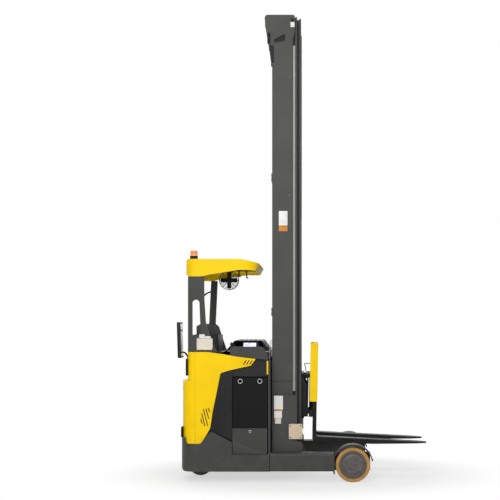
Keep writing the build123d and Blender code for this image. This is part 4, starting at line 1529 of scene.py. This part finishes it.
@dataclass
class BodyTrim:
    """What is screwed, let in or stuck to the lower body."""

    strip: tuple[Pair, Pair] = ((-0.359, 1.101), (-0.341, 1.240))
    strip_y: float = -0.598
    lock_at: Pair = (-0.528, 0.520)
    lock_y: float = 0.6267
    lock_ring: Outline = (
        (0.0098, -0.004), (0.0145, -0.0005), (0.0145, 0.0015), (0.0125, 0.003), (0.0098, 0.003),
    )
    lock_core: Outline = ((0.0096, -0.009), (0.0096, -0.002), (0.0088, -0.001), (0.0, -0.001))
    lock_screws: Outline = ((-0.68, 0.525), (-0.382, 0.33), (-0.382, 0.52))
    left_screws: Outline = ((-1.06, 0.42), (-1.06, 1.22), (-0.76, 0.42), (-0.76, 1.22))
    rear_screws_y: Sequence[float] = (-0.50, 0.0)
    rear_screws_z: Sequence[float] = (0.42, 0.95, 1.22)
    stripe_x: Sequence[float] = (-0.600, -0.569, -0.538)
    stripe_z: Pair = (1.202, 1.246)
    stripe_wide: float = 0.012
    stripe_lean: float = 0.026
    panel_y: float = -0.6227
    # The vent's slots are flat dark sheets on the panel: painted shade for the openings' dark insides.
    vent: Sequence[tuple[Pair, Pair]] = (
        ((-1.031, 0.650), (-1.018, 0.600)),
        ((-1.022, 0.705), (-0.9885, 0.5745)),
        ((-1.005, 0.750), (-0.961, 0.577)),
        ((-0.978, 0.754), (-0.951, 0.6495)),
        ((-0.952, 0.758), (-0.942, 0.720)),
    )
    vent_half: float = 0.005
    skirt: Outline = ((-0.7075, 0.2875), (-0.3525, 0.2875), (-0.3525, 0.294), (-0.7075, 0.416))
    skirt_y: Pair = (0.6165, 0.6268)
    eye_x: Sequence[float] = (-0.628, -0.428)
    eye_y: float = 0.6195
    eye_z: float = 1.032
    eye_ring: Pair = (0.0215, 0.0036)
    tray_x: Pair = (-1.150, -0.862)
    tray_y: Pair = (-0.545, 0.040)
    tray_z: Pair = (1.3303, 1.503)
    tray_skin: float = 0.008
    tray_corner: float = 0.03
    tray_ribs: int = 15
    tray_pitch: float = 0.0365
    bumpers: Sequence[tuple[Pair, Pair, float, float]] = (
        ((0.455, 0.562), (-0.585, -0.015), -0.248, 0.0105),
        ((1.087, 1.261), (-0.585, -0.218), -0.3495, 0.019),
    )
    screen_x: Pair = (-0.336, -0.330)
    screen_z: Pair = (1.2453, 1.450)
    screen_half: float = 0.57

    def build(self) -> None:
        """Makes the strip, locks, screws, stripes, skirts, rings, tray, bumpers and clear screen."""
        strip = Solid("edge_strip", Palette.YELLOW)
        strip.slab(*self.strip, 0.003, (self.strip_y - 0.002, self.strip_y + 0.0004), "Y", 0.0006)
        strip.piece("chassis")
        self.locks()
        self.screws()
        self.stripes()
        self.skirts()
        self.rings()
        self.tray()
        self.rear_bumpers()
        self.screen()

    def locks(self) -> None:
        """Sets a lock cylinder into each battery plate, with its corner screws."""
        unit = Solid("battery_locks", Palette.BLACKENED)
        x, z = self.lock_at
        for sign in SIDES:
            at = (x, sign * self.lock_y, z)
            unit.using(Palette.ZINC).turned(self.lock_ring, at, (0, sign, 0), 28, True)
            unit.using(Palette.BLACKENED).turned(self.lock_core, at, (0, sign, 0), 24)
            for screw_x, screw_z in self.lock_screws:
                unit.screw((screw_x, sign * self.lock_y, screw_z), (0, sign, 0), 0.008)
        unit.piece("chassis")

    def screws(self) -> None:
        """Fixes the left side panel and the rear cover."""
        unit = Solid("panel_screws", Palette.BLACKENED)
        for x, z in self.left_screws:
            unit.screw(Probe.side(x, z, 1), (0, 1, 0), 0.0075)
        for y in self.rear_screws_y:
            for z in self.rear_screws_z:
                unit.screw(*Probe.find((-2.0, y, z), FORWARD), 0.0075)
        unit.piece("chassis")

    def stripes(self) -> None:
        """Lays the dark stripes on the yellow panel's tip, and flat dark slots on it that paint the shade
        inside the vent's openings.
        """
        unit = Solid("tip_stripes_and_vent_shade", Palette.BLACK_PLASTIC)
        (low, high), half = self.stripe_z, self.vent_half
        bars = [((x, low), (x + self.stripe_lean, high), self.stripe_wide) for x in self.stripe_x]
        # Vent slots: painted shade, drawn as flat dark sheets.
        for (top, top_z), (foot, foot_z) in self.vent:
            bars.append(((top - half, top_z), (foot - half, foot_z), 2 * half))
        for (x, z), (far, last_z), wide in bars:
            outline = [(x, z), (x + wide, z), (far + wide, last_z), (far, last_z)]
            unit.prism(outline, (self.panel_y - 0.0006, self.panel_y + 0.0002), "Y", 0.0002, 1)
        unit.piece("chassis")

    def skirts(self) -> None:
        """Closes the body below the battery's lock plates."""
        unit = Solid("bay_skirts", Palette.GREY)
        for sign in SIDES:
            unit.prism(self.skirt, mirrored(self.skirt_y, sign), "Y", 0.001)
        unit.piece("chassis")

    def rings(self) -> None:
        """Rings the battery's lifting eyes."""
        unit = Solid("eye_rings", Palette.ZINC)
        radius, thick = self.eye_ring
        for x in self.eye_x:
            for sign in SIDES:
                at = (x, sign * self.eye_y, self.eye_z)
                unit.turned(circle(thick, 10, (radius, 0.0)), at, (0, sign, 0), 40, True)
        unit.piece("chassis")

    def tray(self) -> None:
        """Makes the open storage tray on the rear cover, with its ribbed liner."""
        unit = Solid("storage_tray", Palette.BLACK_PLASTIC)
        (low_x, high_x), (low_y, high_y), (foot, rim) = self.tray_x, self.tray_y, self.tray_z
        skin, corner = self.tray_skin, self.tray_corner
        outer = rectangle((low_x, low_y), (high_x, high_y), corner)
        inner = rectangle((low_x + skin, low_y + skin), (high_x - skin, high_y - skin), corner - skin / 2)
        unit.cup(outer, inner, (foot, foot + skin, rim)).using(Palette.MAT)
        for step in range(self.tray_ribs):
            y = low_y + 0.03 + step * self.tray_pitch
            span = (foot + skin - 0.0005, foot + skin + 0.003)
            unit.slab((low_x + 0.02, y), (high_x - 0.02, y + 0.011), 0.004, span, "Z", 0.001, 1)
        unit.piece("chassis")

    def rear_bumpers(self) -> None:
        """Puts two rubber strips on the rear cover."""
        unit = Solid("rear_bumpers", Palette.BLACK_RUBBER)
        for (low, high), span, y, deep in self.bumpers:
            x = Probe.find((-2.0, y, (low + high) / 2), FORWARD)[0].x
            out, seat = x - deep, x + 0.0004
            corners = [(out, low), (seat, low), (seat, high), (out, high)]
            unit.prism(rounded_outline(corners, [0.007, 0.001, 0.001, 0.007]), span, "Y", 0.0025, 2)
        unit.piece("chassis")

    def screen(self) -> None:
        """Stands the clear sheet between the console and the mast, in a rubber foot."""
        (near, far), (low, high), half = self.screen_x, self.screen_z, self.screen_half
        corners = [(-half, low), (half, low), (half, high), (-half, high)]
        sheet = Solid("mast_screen", Palette.CLEAR_SCREEN)
        sheet.prism(rounded_outline(corners, [0.002, 0.002, 0.03, 0.03]), self.screen_x, "X", 0.0008, 1)
        sheet.piece("chassis")
        foot = Solid("screen_foot", Palette.BLACK_RUBBER)
        for face in ((near - 0.004, near), (far, far + 0.004)):
            foot.slab((-half - 0.002, low), (half + 0.002, low + 0.012), 0.002, face, "X", 0.0008, 1)
        foot.piece("chassis")


@dataclass
class GuardDress:
    """The overhead guard's labels, fixings, beacon, fan wires, hooks and hand grip."""

    pillar_y: float = -0.598
    bolt_x: Sequence[float] = (-1.13, -1.02, -0.91)
    screw_y: Sequence[float] = (-0.40, 0.0, 0.40)
    beacon_at: Point = (-1.108, -0.560, 2.2832)
    beacon_foot: Outline = (
        (0.043, 0.0), (0.043, 0.006), (0.0405, 0.009), (0.0385, 0.026), (0.041, 0.0285), (0.041, 0.033),
    )
    beacon_ring: Outline = ((0.0405, 0.0328), (0.0405, 0.0385), (0.037, 0.0395))
    dome_top: Outline = ((0.0355, 0.081), (0.031, 0.0875), (0.02, 0.0905), (0.0, 0.0915))
    dome_ribs: int = 6
    fan_at: Point = (-0.785, -0.100, 2.085)
    fan_radius: float = 0.105
    fan_half: float = 0.035
    fan_bulge: float = 0.006
    fan_rings: int = 6
    fan_spokes: int = 16
    wire: float = 0.0014
    hooks: Outline = ((-0.690, 2.116), (-0.608, 2.102))
    hook_y: Pair = (-0.115, -0.095)
    hook_top: float = 2.2048
    grip: Outline = (
        (-1.045, 1.986), (-1.110, 1.957), (-1.142, 1.90), (-1.148, 1.75), (-1.140, 1.60), (-1.110, 1.55),
        (-1.06, 1.54),
    )
    grip_y: float = 0.585

    def build(self) -> None:
        """Makes all of it."""
        cream, white = Palette.LABEL_CREAM, Palette.LABEL_WHITE
        stick_labels("pillar_labels", "chassis", self.pillar_y, (
            (cream, (-1.075, 1.352), (-0.913, 1.470)),
            (white, (-1.050, 1.472), (-0.993, 1.511)),
            (white, (-0.991, 1.472), (-0.932, 1.492)),
        ))
        self.bolts()
        self.beacon()
        self.fan()
        self.roof_hooks()
        self.post_grip()

    def bolts(self) -> None:
        """Bolts the pillar to the body and screws the guard's rear."""
        unit = Solid("guard_bolts", Palette.BLACKENED)
        for x in self.bolt_x:
            unit.bolt(Probe.side(x, 1.36 if x > -1.0 else 1.345, -1), (0, -1, 0), 0.012)
        for y in self.screw_y:
            unit.screw(*Probe.find((-1.155, y, 3.0), DOWN), 0.009)
        unit.piece("chassis")

    def beacon(self) -> None:
        """Makes the beacon as the photo shows it: black base, a ring whose pale colour is a painted
        highlight, and a ribbed lens.
        """
        base = Solid("beacon_foot", Palette.BLACK_PLASTIC)
        base.turned(self.beacon_foot, self.beacon_at, UP, 48)
        # The ring's pale colour is a painted highlight.
        base.using(Palette.BEACON_RING_HIGHLIGHT).turned(self.beacon_ring, self.beacon_at, UP, 48)
        base.using(Palette.BLACKENED)
        for step in range(3):
            turn = math.tau * (step + 0.25) / 3
            out = Vector((math.cos(turn), math.sin(turn), 0.0))
            base.screw(Vector(self.beacon_at) + out * 0.0415 + Vector((0, 0, 0.018)), out, 0.003)
        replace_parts(base.piece("chassis"), "beacon_base")
        lens = Solid("beacon_dome", Palette.BEACON)
        dome = [(0.0365, 0.039)]
        for rib in range(self.dome_ribs):
            dome += [(0.0372, 0.043 + rib * 0.006), (0.0362, 0.046 + rib * 0.006)]
        lens.turned([*dome, *self.dome_top], self.beacon_at, UP, 56)
        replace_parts(lens.piece("chassis"), "beacon_lens")

    def fan(self) -> None:
        """Lays rings and spokes of thin wire over both faces of the fan's cage."""
        unit = Solid("fan_wires", Palette.BLACK)
        x, y, z = self.fan_at
        spoke = ((0.025, 0.006), (0.06, 0.0035), (self.fan_radius - 0.001, 0.0))
        for side in SIDES:
            for step in range(self.fan_rings):
                ring = circle(self.fan_radius * (0.98 - step * 0.15), 24, (x, z))
                face = y + side * (self.fan_half + self.fan_bulge * step / (self.fan_rings - 1))
                unit.tube([(u, face, w) for u, w in ring], self.wire, True, 6, 2)
            for step in range(self.fan_spokes):
                turn = math.tau * step / self.fan_spokes
                line = [
                    (x + out * math.cos(turn), y + side * (self.fan_half + deep), z + out * math.sin(turn))
                    for out, deep in spoke
                ]
                unit.tube(line, self.wire, False, 6, 2)
            hub = [(0.026, -0.002), (0.026, 0.002), (0.02, 0.005), (0.0, 0.006)]
            unit.turned(hub, (x, y + side * (self.fan_half + self.fan_bulge), z), (0, side, 0), 28)
        unit.piece("chassis")

    def roof_hooks(self) -> None:
        """Hangs the two hooks and their plates under the bars."""
        unit = Solid("roof_hooks", Palette.BLACK)
        (near, far), top = self.hook_y, self.hook_top
        for x, low in self.hooks:
            stem = [(x, top), (x + 0.015, top), (x + 0.020, low + 0.014), (x + 0.032, low + 0.010)]
            unit.prism([*stem, (x + 0.031, low), (x + 0.007, low + 0.004)], self.hook_y, "Y", 0.002)
        for x, _ in self.hooks:
            plate = (x - 0.012, near - 0.012), (x + 0.027, far + 0.012)
            unit.slab(*plate, 0.004, (top - 0.006, top), "Z", 0.001)
        unit.piece("chassis")

    def post_grip(self) -> None:
        """Puts the hand grip on the left post, its ends let into the post."""
        ends = []
        for z in (self.grip[0][1] + 0.012, self.grip[-1][1] - 0.012):
            ends.append((Probe.find((-1.6, self.grip_y, z), FORWARD)[0].x + 0.002, z))
        line = [(x, self.grip_y, z) for x, z in (ends[0], *self.grip, ends[1])]
        Solid("post_grip", Palette.BLACK).tube(line, 0.009, False, 14, 6).piece("chassis")


@dataclass
class MirrorDress:
    """The rear-view mirror: a leaning housing, its glass and its bent arm."""

    top_x: Pair = (-1.278, -1.246)
    foot_x: Pair = (-1.268, -1.236)
    span_z: Pair = (1.268, 1.636)
    span_y: Pair = (-0.612, -0.388)
    rim: float = 0.014
    arm: Sequence[Point] = (
        (-1.251, -0.500, 1.330), (-1.208, -0.500, 1.318), (-1.184, -0.500, 1.290), (-1.1715, -0.500, 1.262),
    )
    plate: tuple[Pair, Pair] = ((-0.522, 1.238), (-0.478, 1.286))
    plate_x: Pair = (-1.177, -1.1708)
    plate_screws: Outline = ((-0.512, 1.2465), (-0.488, 1.2775))

    def build(self) -> None:
        """Makes the housing, the arm with its foot, then the glass."""
        (low, high), (near, far) = self.span_z, self.span_y
        corners = [(x, low) for x in self.foot_x] + [(x, high) for x in reversed(self.top_x)]
        unit = Solid("rear_view_mirror", Palette.MIRROR_BLACK)
        unit.prism(rounded_outline(corners, [0.012, 0.005, 0.005, 0.012]), self.span_y, "Y", 0.006, 3)
        unit.using(Palette.BLACK_RUBBER).tube(self.arm, 0.009, False, 14, 6)
        unit.using(Palette.BLACK).slab(*self.plate, 0.006, self.plate_x, "X", 0.0015)
        for y, z in self.plate_screws:
            unit.using(Palette.BLACKENED).screw((self.plate_x[0], y, z), (-1, 0, 0), 0.005)
        lean = math.atan2(self.foot_x[1] - self.top_x[1], high - low)
        middle = ((self.foot_x[1] + self.top_x[1]) / 2, (near + far) / 2, (low + high) / 2)
        unit.within(Matrix.Translation(middle) @ Matrix.Rotation(-lean, 4, "Y"))
        for finish, inset, proud in ((Palette.BLACK_RUBBER, 0.0, 0.0014), (Palette.GLASS, 0.005, 0.002)):
            wide, tall = (far - near) / 2 - self.rim - inset, (high - low) / 2 - self.rim - inset
            unit.using(finish).slab((-wide, -tall), (wide, tall), 0.014, (-0.001, proud), "X", 0.0004, 1)
        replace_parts(unit.piece("chassis"), "rear_mirror")


@dataclass
class MastDress:
    """The mast head, the last of the rails, labels, bolts and the lift cylinders' glands."""

    web_y: float = 0.435
    head_y: float = 0.447
    head_outline: Outline = (
        (-0.309, 1.024), (-0.309, 4.316), (-0.320, 4.316), (-0.356, 4.600), (-0.356, 4.657), (-0.382, 4.699),
        (-0.388, 4.829), (-0.073, 4.829), (-0.073, 4.659), (-0.095, 4.569), (-0.095, 1.024),
    )
    head_radii: Sequence[float] = (0, 0, 0, 0.03, 0.02, 0.03, 0.03, 0.024, 0.03, 0.03, 0)
    window: Outline = ((-0.290, 4.572), (-0.284, 4.538), (-0.178, 4.555), (-0.169, 4.612), (-0.182, 4.627))
    pocket: Outline = ((-0.336, 4.508), (-0.291, 4.508), (-0.291, 4.330), (-0.3135, 4.330))
    sling_hole: Pair = (-0.100, 4.776)
    sling_radius: float = 0.015
    roller_x: float = -0.346
    roller_z: float = 4.528
    roller_high: float = 0.106
    tie: tuple[Pair, Pair] = ((-0.382, 4.714), (-0.370, 4.800))
    # Where the pale strips lie that paint the highlight on the outer rails' front corners.
    highlight_strip_x: Pair = (-0.0936, -0.0700)
    highlight_strip_y: Pair = (0.4195, 0.4345)
    highlight_strip_z: Pair = (0.92, 4.512)
    rail_rear: float = -0.310
    rail_depth: float = 0.216
    rail_web: float = 0.012
    rail_flange: float = 0.018
    rail_reach: float = 0.042
    rail_top: float = 4.815
    stage_step: float = 0.042
    stage_inset: float = 0.060
    first_inset: float = 0.003
    stages: Sequence[tuple[str, str, float]] = (
        ("rail_tops_fixed", "reach_frame", 4.789),
        ("rail_tops_middle", "middle_stage", 4.769),
        ("rail_tops_inner", "inner_stage", 4.749),
    )
    web_bolts: Outline = ((-0.131, 4.180), (-0.131, 2.95), (-0.131, 1.25))
    ties_z: Sequence[float] = (0.35, 1.75, 3.15, 4.61)
    barrel_top: Point = (-0.280, 0.215, 4.240)
    gland: Outline = (
        (0.0305, -0.03), (0.0335, -0.028), (0.0335, 0.004), (0.031, 0.007), (0.0196, 0.007), (0.0196, 0.0),
        (0.0305, 0.0),
    )

    def build(self) -> None:
        """Makes all of it, the head plates first so that the rest seats on them."""
        self.head()
        self.rail_tops()
        white, orange = Palette.LABEL_WHITE, Palette.LABEL_ORANGE
        stick_labels("mast_labels", "reach_frame", None, (
            (white, (-0.240, 2.640), (-0.150, 2.790)),
            (orange, (-0.240, 2.580), (-0.150, 2.638)),
            (white, (-0.118, 4.700), (-0.077, 4.753)),
        ))
        self.bolts()
        self.glands()

    def head(self) -> None:
        """Makes the side plates with their windows, pockets and rollers, the tie, thin black fills in the
        openings as painted shade, and pale strips on the rails' front corners as a painted highlight.
        """
        unit = Solid("mast_side_plates", Palette.MAST)
        outline = rounded_outline(self.head_outline, self.head_radii)
        holes = (
            circle(self.sling_radius, 24, self.sling_hole),
            rounded_outline(self.window, [0.005] * len(self.window)),
            rounded_outline(self.pocket, [0.004] * len(self.pocket)),
        )
        x, foot, high = self.roller_x, self.roller_z, self.roller_high
        barrel = [(0.006, 0.0), (0.012, 0.0), (0.014, 0.003)]
        barrel += [(0.014, high - 0.003), (0.012, high), (0.006, high)]
        for sign in SIDES:
            unit.using(Palette.MAST).pierced(outline, holes, (sign * self.web_y, sign * self.head_y))
            # Each opening is closed just inside by a thin black fill: painted shade for the dark hollow
            # behind it.
            for hole in holes:
                shade_fill_span = (sign * (self.web_y + 0.0004), sign * (self.web_y + 0.002))
                unit.using(Palette.BLACK).prism(hole, shade_fill_span, "Y")
            y = self.head_y + 0.015
            unit.using(Palette.BLACK_RUBBER).turned(barrel, (x, sign * y, foot), UP, 28)
            near, far = mirrored((y - 0.016, y + 0.008), sign)
            for low in (foot - 0.0065, foot + high + 0.0005):
                unit.using(Palette.MAST)
                unit.slab((x - 0.008, near), (x + 0.008, far), 0.003, (low, low + 0.006), "Z", 0.001, 1)
        unit.slab(*self.tie, 0.003, (-self.web_y, self.web_y), "Y", 0.001)
        # Pale strips on the rails' front corners: a painted highlight.
        unit.using(Palette.RAIL_EDGE_HIGHLIGHT)
        for sign in SIDES:
            near, far = mirrored(self.highlight_strip_y, sign)
            unit.slab((self.highlight_strip_x[0], near), (self.highlight_strip_x[1], far), 0.002, self.highlight_strip_z, "Z")
        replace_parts(unit.piece("reach_frame"), "mast_head")

    def rail_tops(self) -> None:
        """Carries each stage's rails up to the head, in the rails' own section."""
        thick = self.rail_flange
        for stage, (name, body, low) in enumerate(self.stages):
            rear = self.rail_rear + stage * self.stage_step
            front = rear + self.rail_depth
            outer = self.web_y - stage * self.stage_inset - (self.first_inset if stage else 0.0)
            inner = outer - self.rail_web
            unit = Solid(name, Palette.MAST)
            for sign in SIDES:
                near, far, lip = sign * outer, sign * inner, sign * (outer + self.rail_reach)
                deep = sign * (inner - self.rail_reach)
                outline = [(rear, near), (front, near)]
                if stage:
                    outline = [(rear, lip), (rear + thick, lip), (rear + thick, near)]
                    outline += [(front - thick, near), (front - thick, lip), (front, lip)]
                outline += [(front, deep), (front - thick, deep), (front - thick, far)]
                outline += [(rear + thick, far), (rear + thick, deep), (rear, deep)]
                unit.prism(outline, (low, self.rail_top), "Z")
            unit.piece(body)

    def bolts(self) -> None:
        """Bolts the outer rails' webs and screws the rear ties."""
        unit = Solid("mast_bolts", Palette.BLACKENED)
        for sign in SIDES:
            for x, z in self.web_bolts:
                unit.bolt(Probe.side(x, z, sign), (0, sign, 0), 0.017)
            for z in self.ties_z:
                for drop in (-0.028, 0.028):
                    place, normal = Probe.find((-0.6, sign * 0.39, z + drop), FORWARD)
                    if normal.x < -0.9:
                        unit.screw(place, normal, 0.009)
        unit.piece("reach_frame")

    def glands(self) -> None:
        """Screws a gland nut on each lift cylinder."""
        unit = Solid("gland_nuts", Palette.BLACKENED)
        x, y, z = self.barrel_top
        for sign in SIDES:
            unit.turned(self.gland, (x, sign * y, z), UP, 12, True)
        unit.piece("reach_frame")


@dataclass
class FreeLift:
    """The free-lift chains, link by link over their sheaves."""

    front_x: float = -0.0172
    rear_x: float = -0.1428
    low_z: Pair = (0.728, 1.186)
    sheave_z: float = 2.750
    chain_y: float = 0.095
    pitch: float = 0.01905
    deep: float = 0.0145
    wide: float = 0.0245

    def build(self) -> None:
        """Makes both chains in place of the plain ones."""
        unit = Solid("leaf_chains", Palette.CHAIN)
        for sign in SIDES:
            pins = [Vector((x, sign * self.chain_y, z)) for x, z in self.route()]
            unit.leaf_chain(pins, self.deep, self.wide)
        made = unit.piece(body_of(bpy.data.objects["free_lift_chain"])[0])
        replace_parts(made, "free_lift_chain")

    def route(self) -> list[Pair]:
        """Gives the pins' places up the front, over the sheave and down the rear."""
        middle = (self.front_x + self.rear_x) / 2
        radius = (self.front_x - self.rear_x) / 2
        front = self.sheave_z - self.low_z[0]
        over = math.pi * radius
        places = []
        for step in range(int((front + over + self.sheave_z - self.low_z[1]) / self.pitch) + 1):
            run = step * self.pitch
            if run < front:
                places.append((self.front_x, self.low_z[0] + run))
            elif run < front + over:
                turn = (run - front) / radius
                places.append((middle + radius * math.cos(turn), self.sheave_z + radius * math.sin(turn)))
            else:
                places.append((self.rear_x, self.sheave_z - (run - front - over)))
        return places


@dataclass
class ReachCarriageDress:
    """Blank plates, roller caps and the guide blocks' screws on the reach carriage."""

    face_y: float = -0.465
    block_x: Pair = (-0.135, 0.006)
    block_z: Pair = (0.427, 0.582)
    block_y: float = 0.500
    screw_inset: float = 0.017
    roller_x: Sequence[float] = (-0.232, -0.048)
    roller_y: float = 0.501
    roller_z: float = 0.203
    roller_cap: Outline = ((0.03, -0.001), (0.03, 0.002), (0.027, 0.004), (0.0, 0.005))

    def build(self) -> None:
        """Sticks the plates on the right side, screws the guide blocks on and caps the rollers."""
        white, orange, cream = Palette.LABEL_WHITE, Palette.LABEL_ORANGE, Palette.LABEL_CREAM
        stick_labels("carriage_plates", "reach_frame", self.face_y, (
            (white, (-0.289, 0.732), (-0.197, 0.872)),
            (orange, (-0.289, 0.716), (-0.197, 0.731)),
            (white, (-0.287, 0.641), (-0.207, 0.715)),
            (cream, (-0.279, 0.583), (-0.216, 0.639)),
        ))
        unit = Solid("carriage_fixings", Palette.BLACKENED)
        inset = self.screw_inset
        for sign in SIDES:
            for x in (self.block_x[0] + inset, self.block_x[1] - inset):
                for z in (self.block_z[0] + inset, self.block_z[1] - inset):
                    unit.screw((x, sign * self.block_y, z), (0, sign, 0), 0.0065)
            for x in self.roller_x:
                unit.turned(self.roller_cap, (x, sign * self.roller_y, self.roller_z), (0, sign, 0), 28)
        unit.piece("reach_frame")


@dataclass
class ForkCarriageDress:
    """The wire loop on the load backrest and the carriage's side plates."""

    loop_y: float = -0.25
    loop_radius: float = 0.0042
    loop: Outline = (
        (0.084, 1.112), (0.050, 1.112), (0.040, 1.124), (0.034, 1.168), (0.024, 1.196), (0.052, 1.200),
        (0.084, 1.198),
    )
    cheek: Outline = ((-0.030, 0.640), (0.048, 0.640), (0.048, 0.980), (0.010, 1.060), (-0.030, 1.060))
    cheek_y: Pair = (0.2935, 0.3005)

    def build(self) -> None:
        """Makes the loop and the plates."""
        loop = Solid("carriage_loop", Palette.BLACKENED)
        loop.tube([(x, self.loop_y, z) for x, z in self.loop], self.loop_radius, False, 10, 6)
        loop.piece("side_shift")
        cheeks = Solid("carriage_cheeks", Palette.BLACK)
        outline = rounded_outline(self.cheek, [0.012] * len(self.cheek))
        for sign in SIDES:
            cheeks.prism(outline, mirrored(self.cheek_y, sign), "Y", 0.001)
        cheeks.piece("fork_carriage")


@dataclass
class WheelDress:
    """A turned cover with its screws on each load wheel."""

    wheel_x: float = 0.523
    wheel_z: float = 0.1775
    dish_y: float = 0.614
    cover: Outline = (
        (0.1215, -0.0006), (0.1205, 0.0012), (0.112, 0.0014), (0.109, 0.0004), (0.104, 0.0006), (0.1, 0.003),
        (0.07, 0.0052), (0.066, 0.004), (0.06, 0.004), (0.057, 0.0075), (0.04, 0.0098), (0.0, 0.0108),
    )
    screw_circle: float = 0.084
    screws: int = 5

    def build(self) -> None:
        """Makes one cover for each load wheel."""
        for sign, body in ((-1, "load_wheel_right"), (1, "load_wheel_left")):
            unit = Solid(f"{body}_cap", Palette.CAST)
            unit.turned(self.cover, (self.wheel_x, sign * self.dish_y, self.wheel_z), (0, sign, 0), 72)
            for step in range(self.screws):
                turn = math.tau * step / self.screws + 0.3
                x = self.wheel_x + self.screw_circle * math.cos(turn)
                z = self.wheel_z + self.screw_circle * math.sin(turn)
                unit.screw((x, sign * (self.dish_y + 0.0042), z), (0, sign, 0), 0.0065)
            unit.piece(body)


@dataclass
class SteeringDress:
    """The steering wheel's hub cap."""

    hub_at: Point = (-0.850, 0.330, 1.290)
    cap: Outline = ((0.031, -0.001), (0.031, 0.003), (0.027, 0.006), (0.012, 0.0075), (0.0, 0.008))

    def build(self) -> None:
        """Makes the cap."""
        Solid("steering_cap", Palette.BLACK_PLASTIC).turned(self.cap, self.hub_at, UP, 36).piece("steering")


@dataclass
class FloorDress:
    """Rubber ribs on the driver's mat, and the ribbed pedal."""

    mat_top: float = 0.270
    rib_x: Pair = (-1.18, -0.79)
    rib_y: Pair = (0.10, 0.55)
    rib_wide: float = 0.007
    pitch: float = 0.021
    pedal_x: Pair = (-0.960, -0.860)
    pedal_y: Pair = (0.230, 0.420)
    pedal_high: float = 0.020
    pedal_ribs: int = 7
    pedal_pitch: float = 0.012

    def build(self) -> None:
        """Lays the ribs, which stop short of the pedal, and sets the pedal."""
        mat = Solid("mat_ribs", Palette.MAT)
        (left, right), (near, far) = self.pedal_x, self.pedal_y
        y = self.rib_y[0]
        while y < self.rib_y[1]:
            parts = [self.rib_x]
            if near - 0.012 < y < far + 0.008:
                parts = [(self.rib_x[0], left - 0.008), (right + 0.008, self.rib_x[1])]
            span = (self.mat_top - 0.0003, self.mat_top + 0.0025)
            for low, high in parts:
                mat.slab((low, y), (high, y + self.rib_wide), 0.003, span, "Z", 0.0008, 1)
            y += self.pitch
        mat.piece("chassis")
        pedal = Solid("floor_pedal", Palette.BLACK)
        top = self.mat_top + self.pedal_high
        pedal.slab((left, near), (right, far), 0.012, (self.mat_top + 0.0002, top), "Z", 0.004)
        pedal.using(Palette.MAT)
        for step in range(self.pedal_ribs):
            x = left + 0.010 + step * self.pedal_pitch
            rib = (x, near + 0.01), (x + 0.006, far - 0.01)
            pedal.slab(*rib, 0.0025, (top - 0.0005, top + 0.002), "Z", 0.0008, 1)
        pedal.piece("chassis")


class CarriedParts:
    """The frame's own solids, each with its finish."""

    @staticmethod
    def dress(frame: dict) -> None:
        """Gives every carried solid the finish of its slot.
        """
        slots = {row["node"]: row["material_slot"] for row in frame["record"]["subparts"]}
        finishes = {choice.value.name: choice.value for choice in Palette}
        for node, piece in frame["nodes"].items():
            for slot in piece.material_slots:
                slot.material = finishes[slots[node]].material()
        log.info("carried parts: %d dressed", len(slots))


def main() -> None:
    """Builds the scene, piece by piece."""
    logging.basicConfig(level=logging.INFO, format="%(name)s: %(message)s")
    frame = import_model()
    CarriedParts.dress(frame)
    for assembly in (
        MirrorDress(),
        FloorDress(),
        Console(),
        BodyTrim(),
        GuardDress(),
        MastDress(),
        ReachCarriageDress(),
        ForkCarriageDress(),
        WheelDress(),
        SteeringDress(),
        FreeLift(),
        BackrestPad(),
    ):
        assembly.build()
        log.info("built %s", type(assembly).__name__)
    Studio().build()


if __name__ == "__main__":
    main()
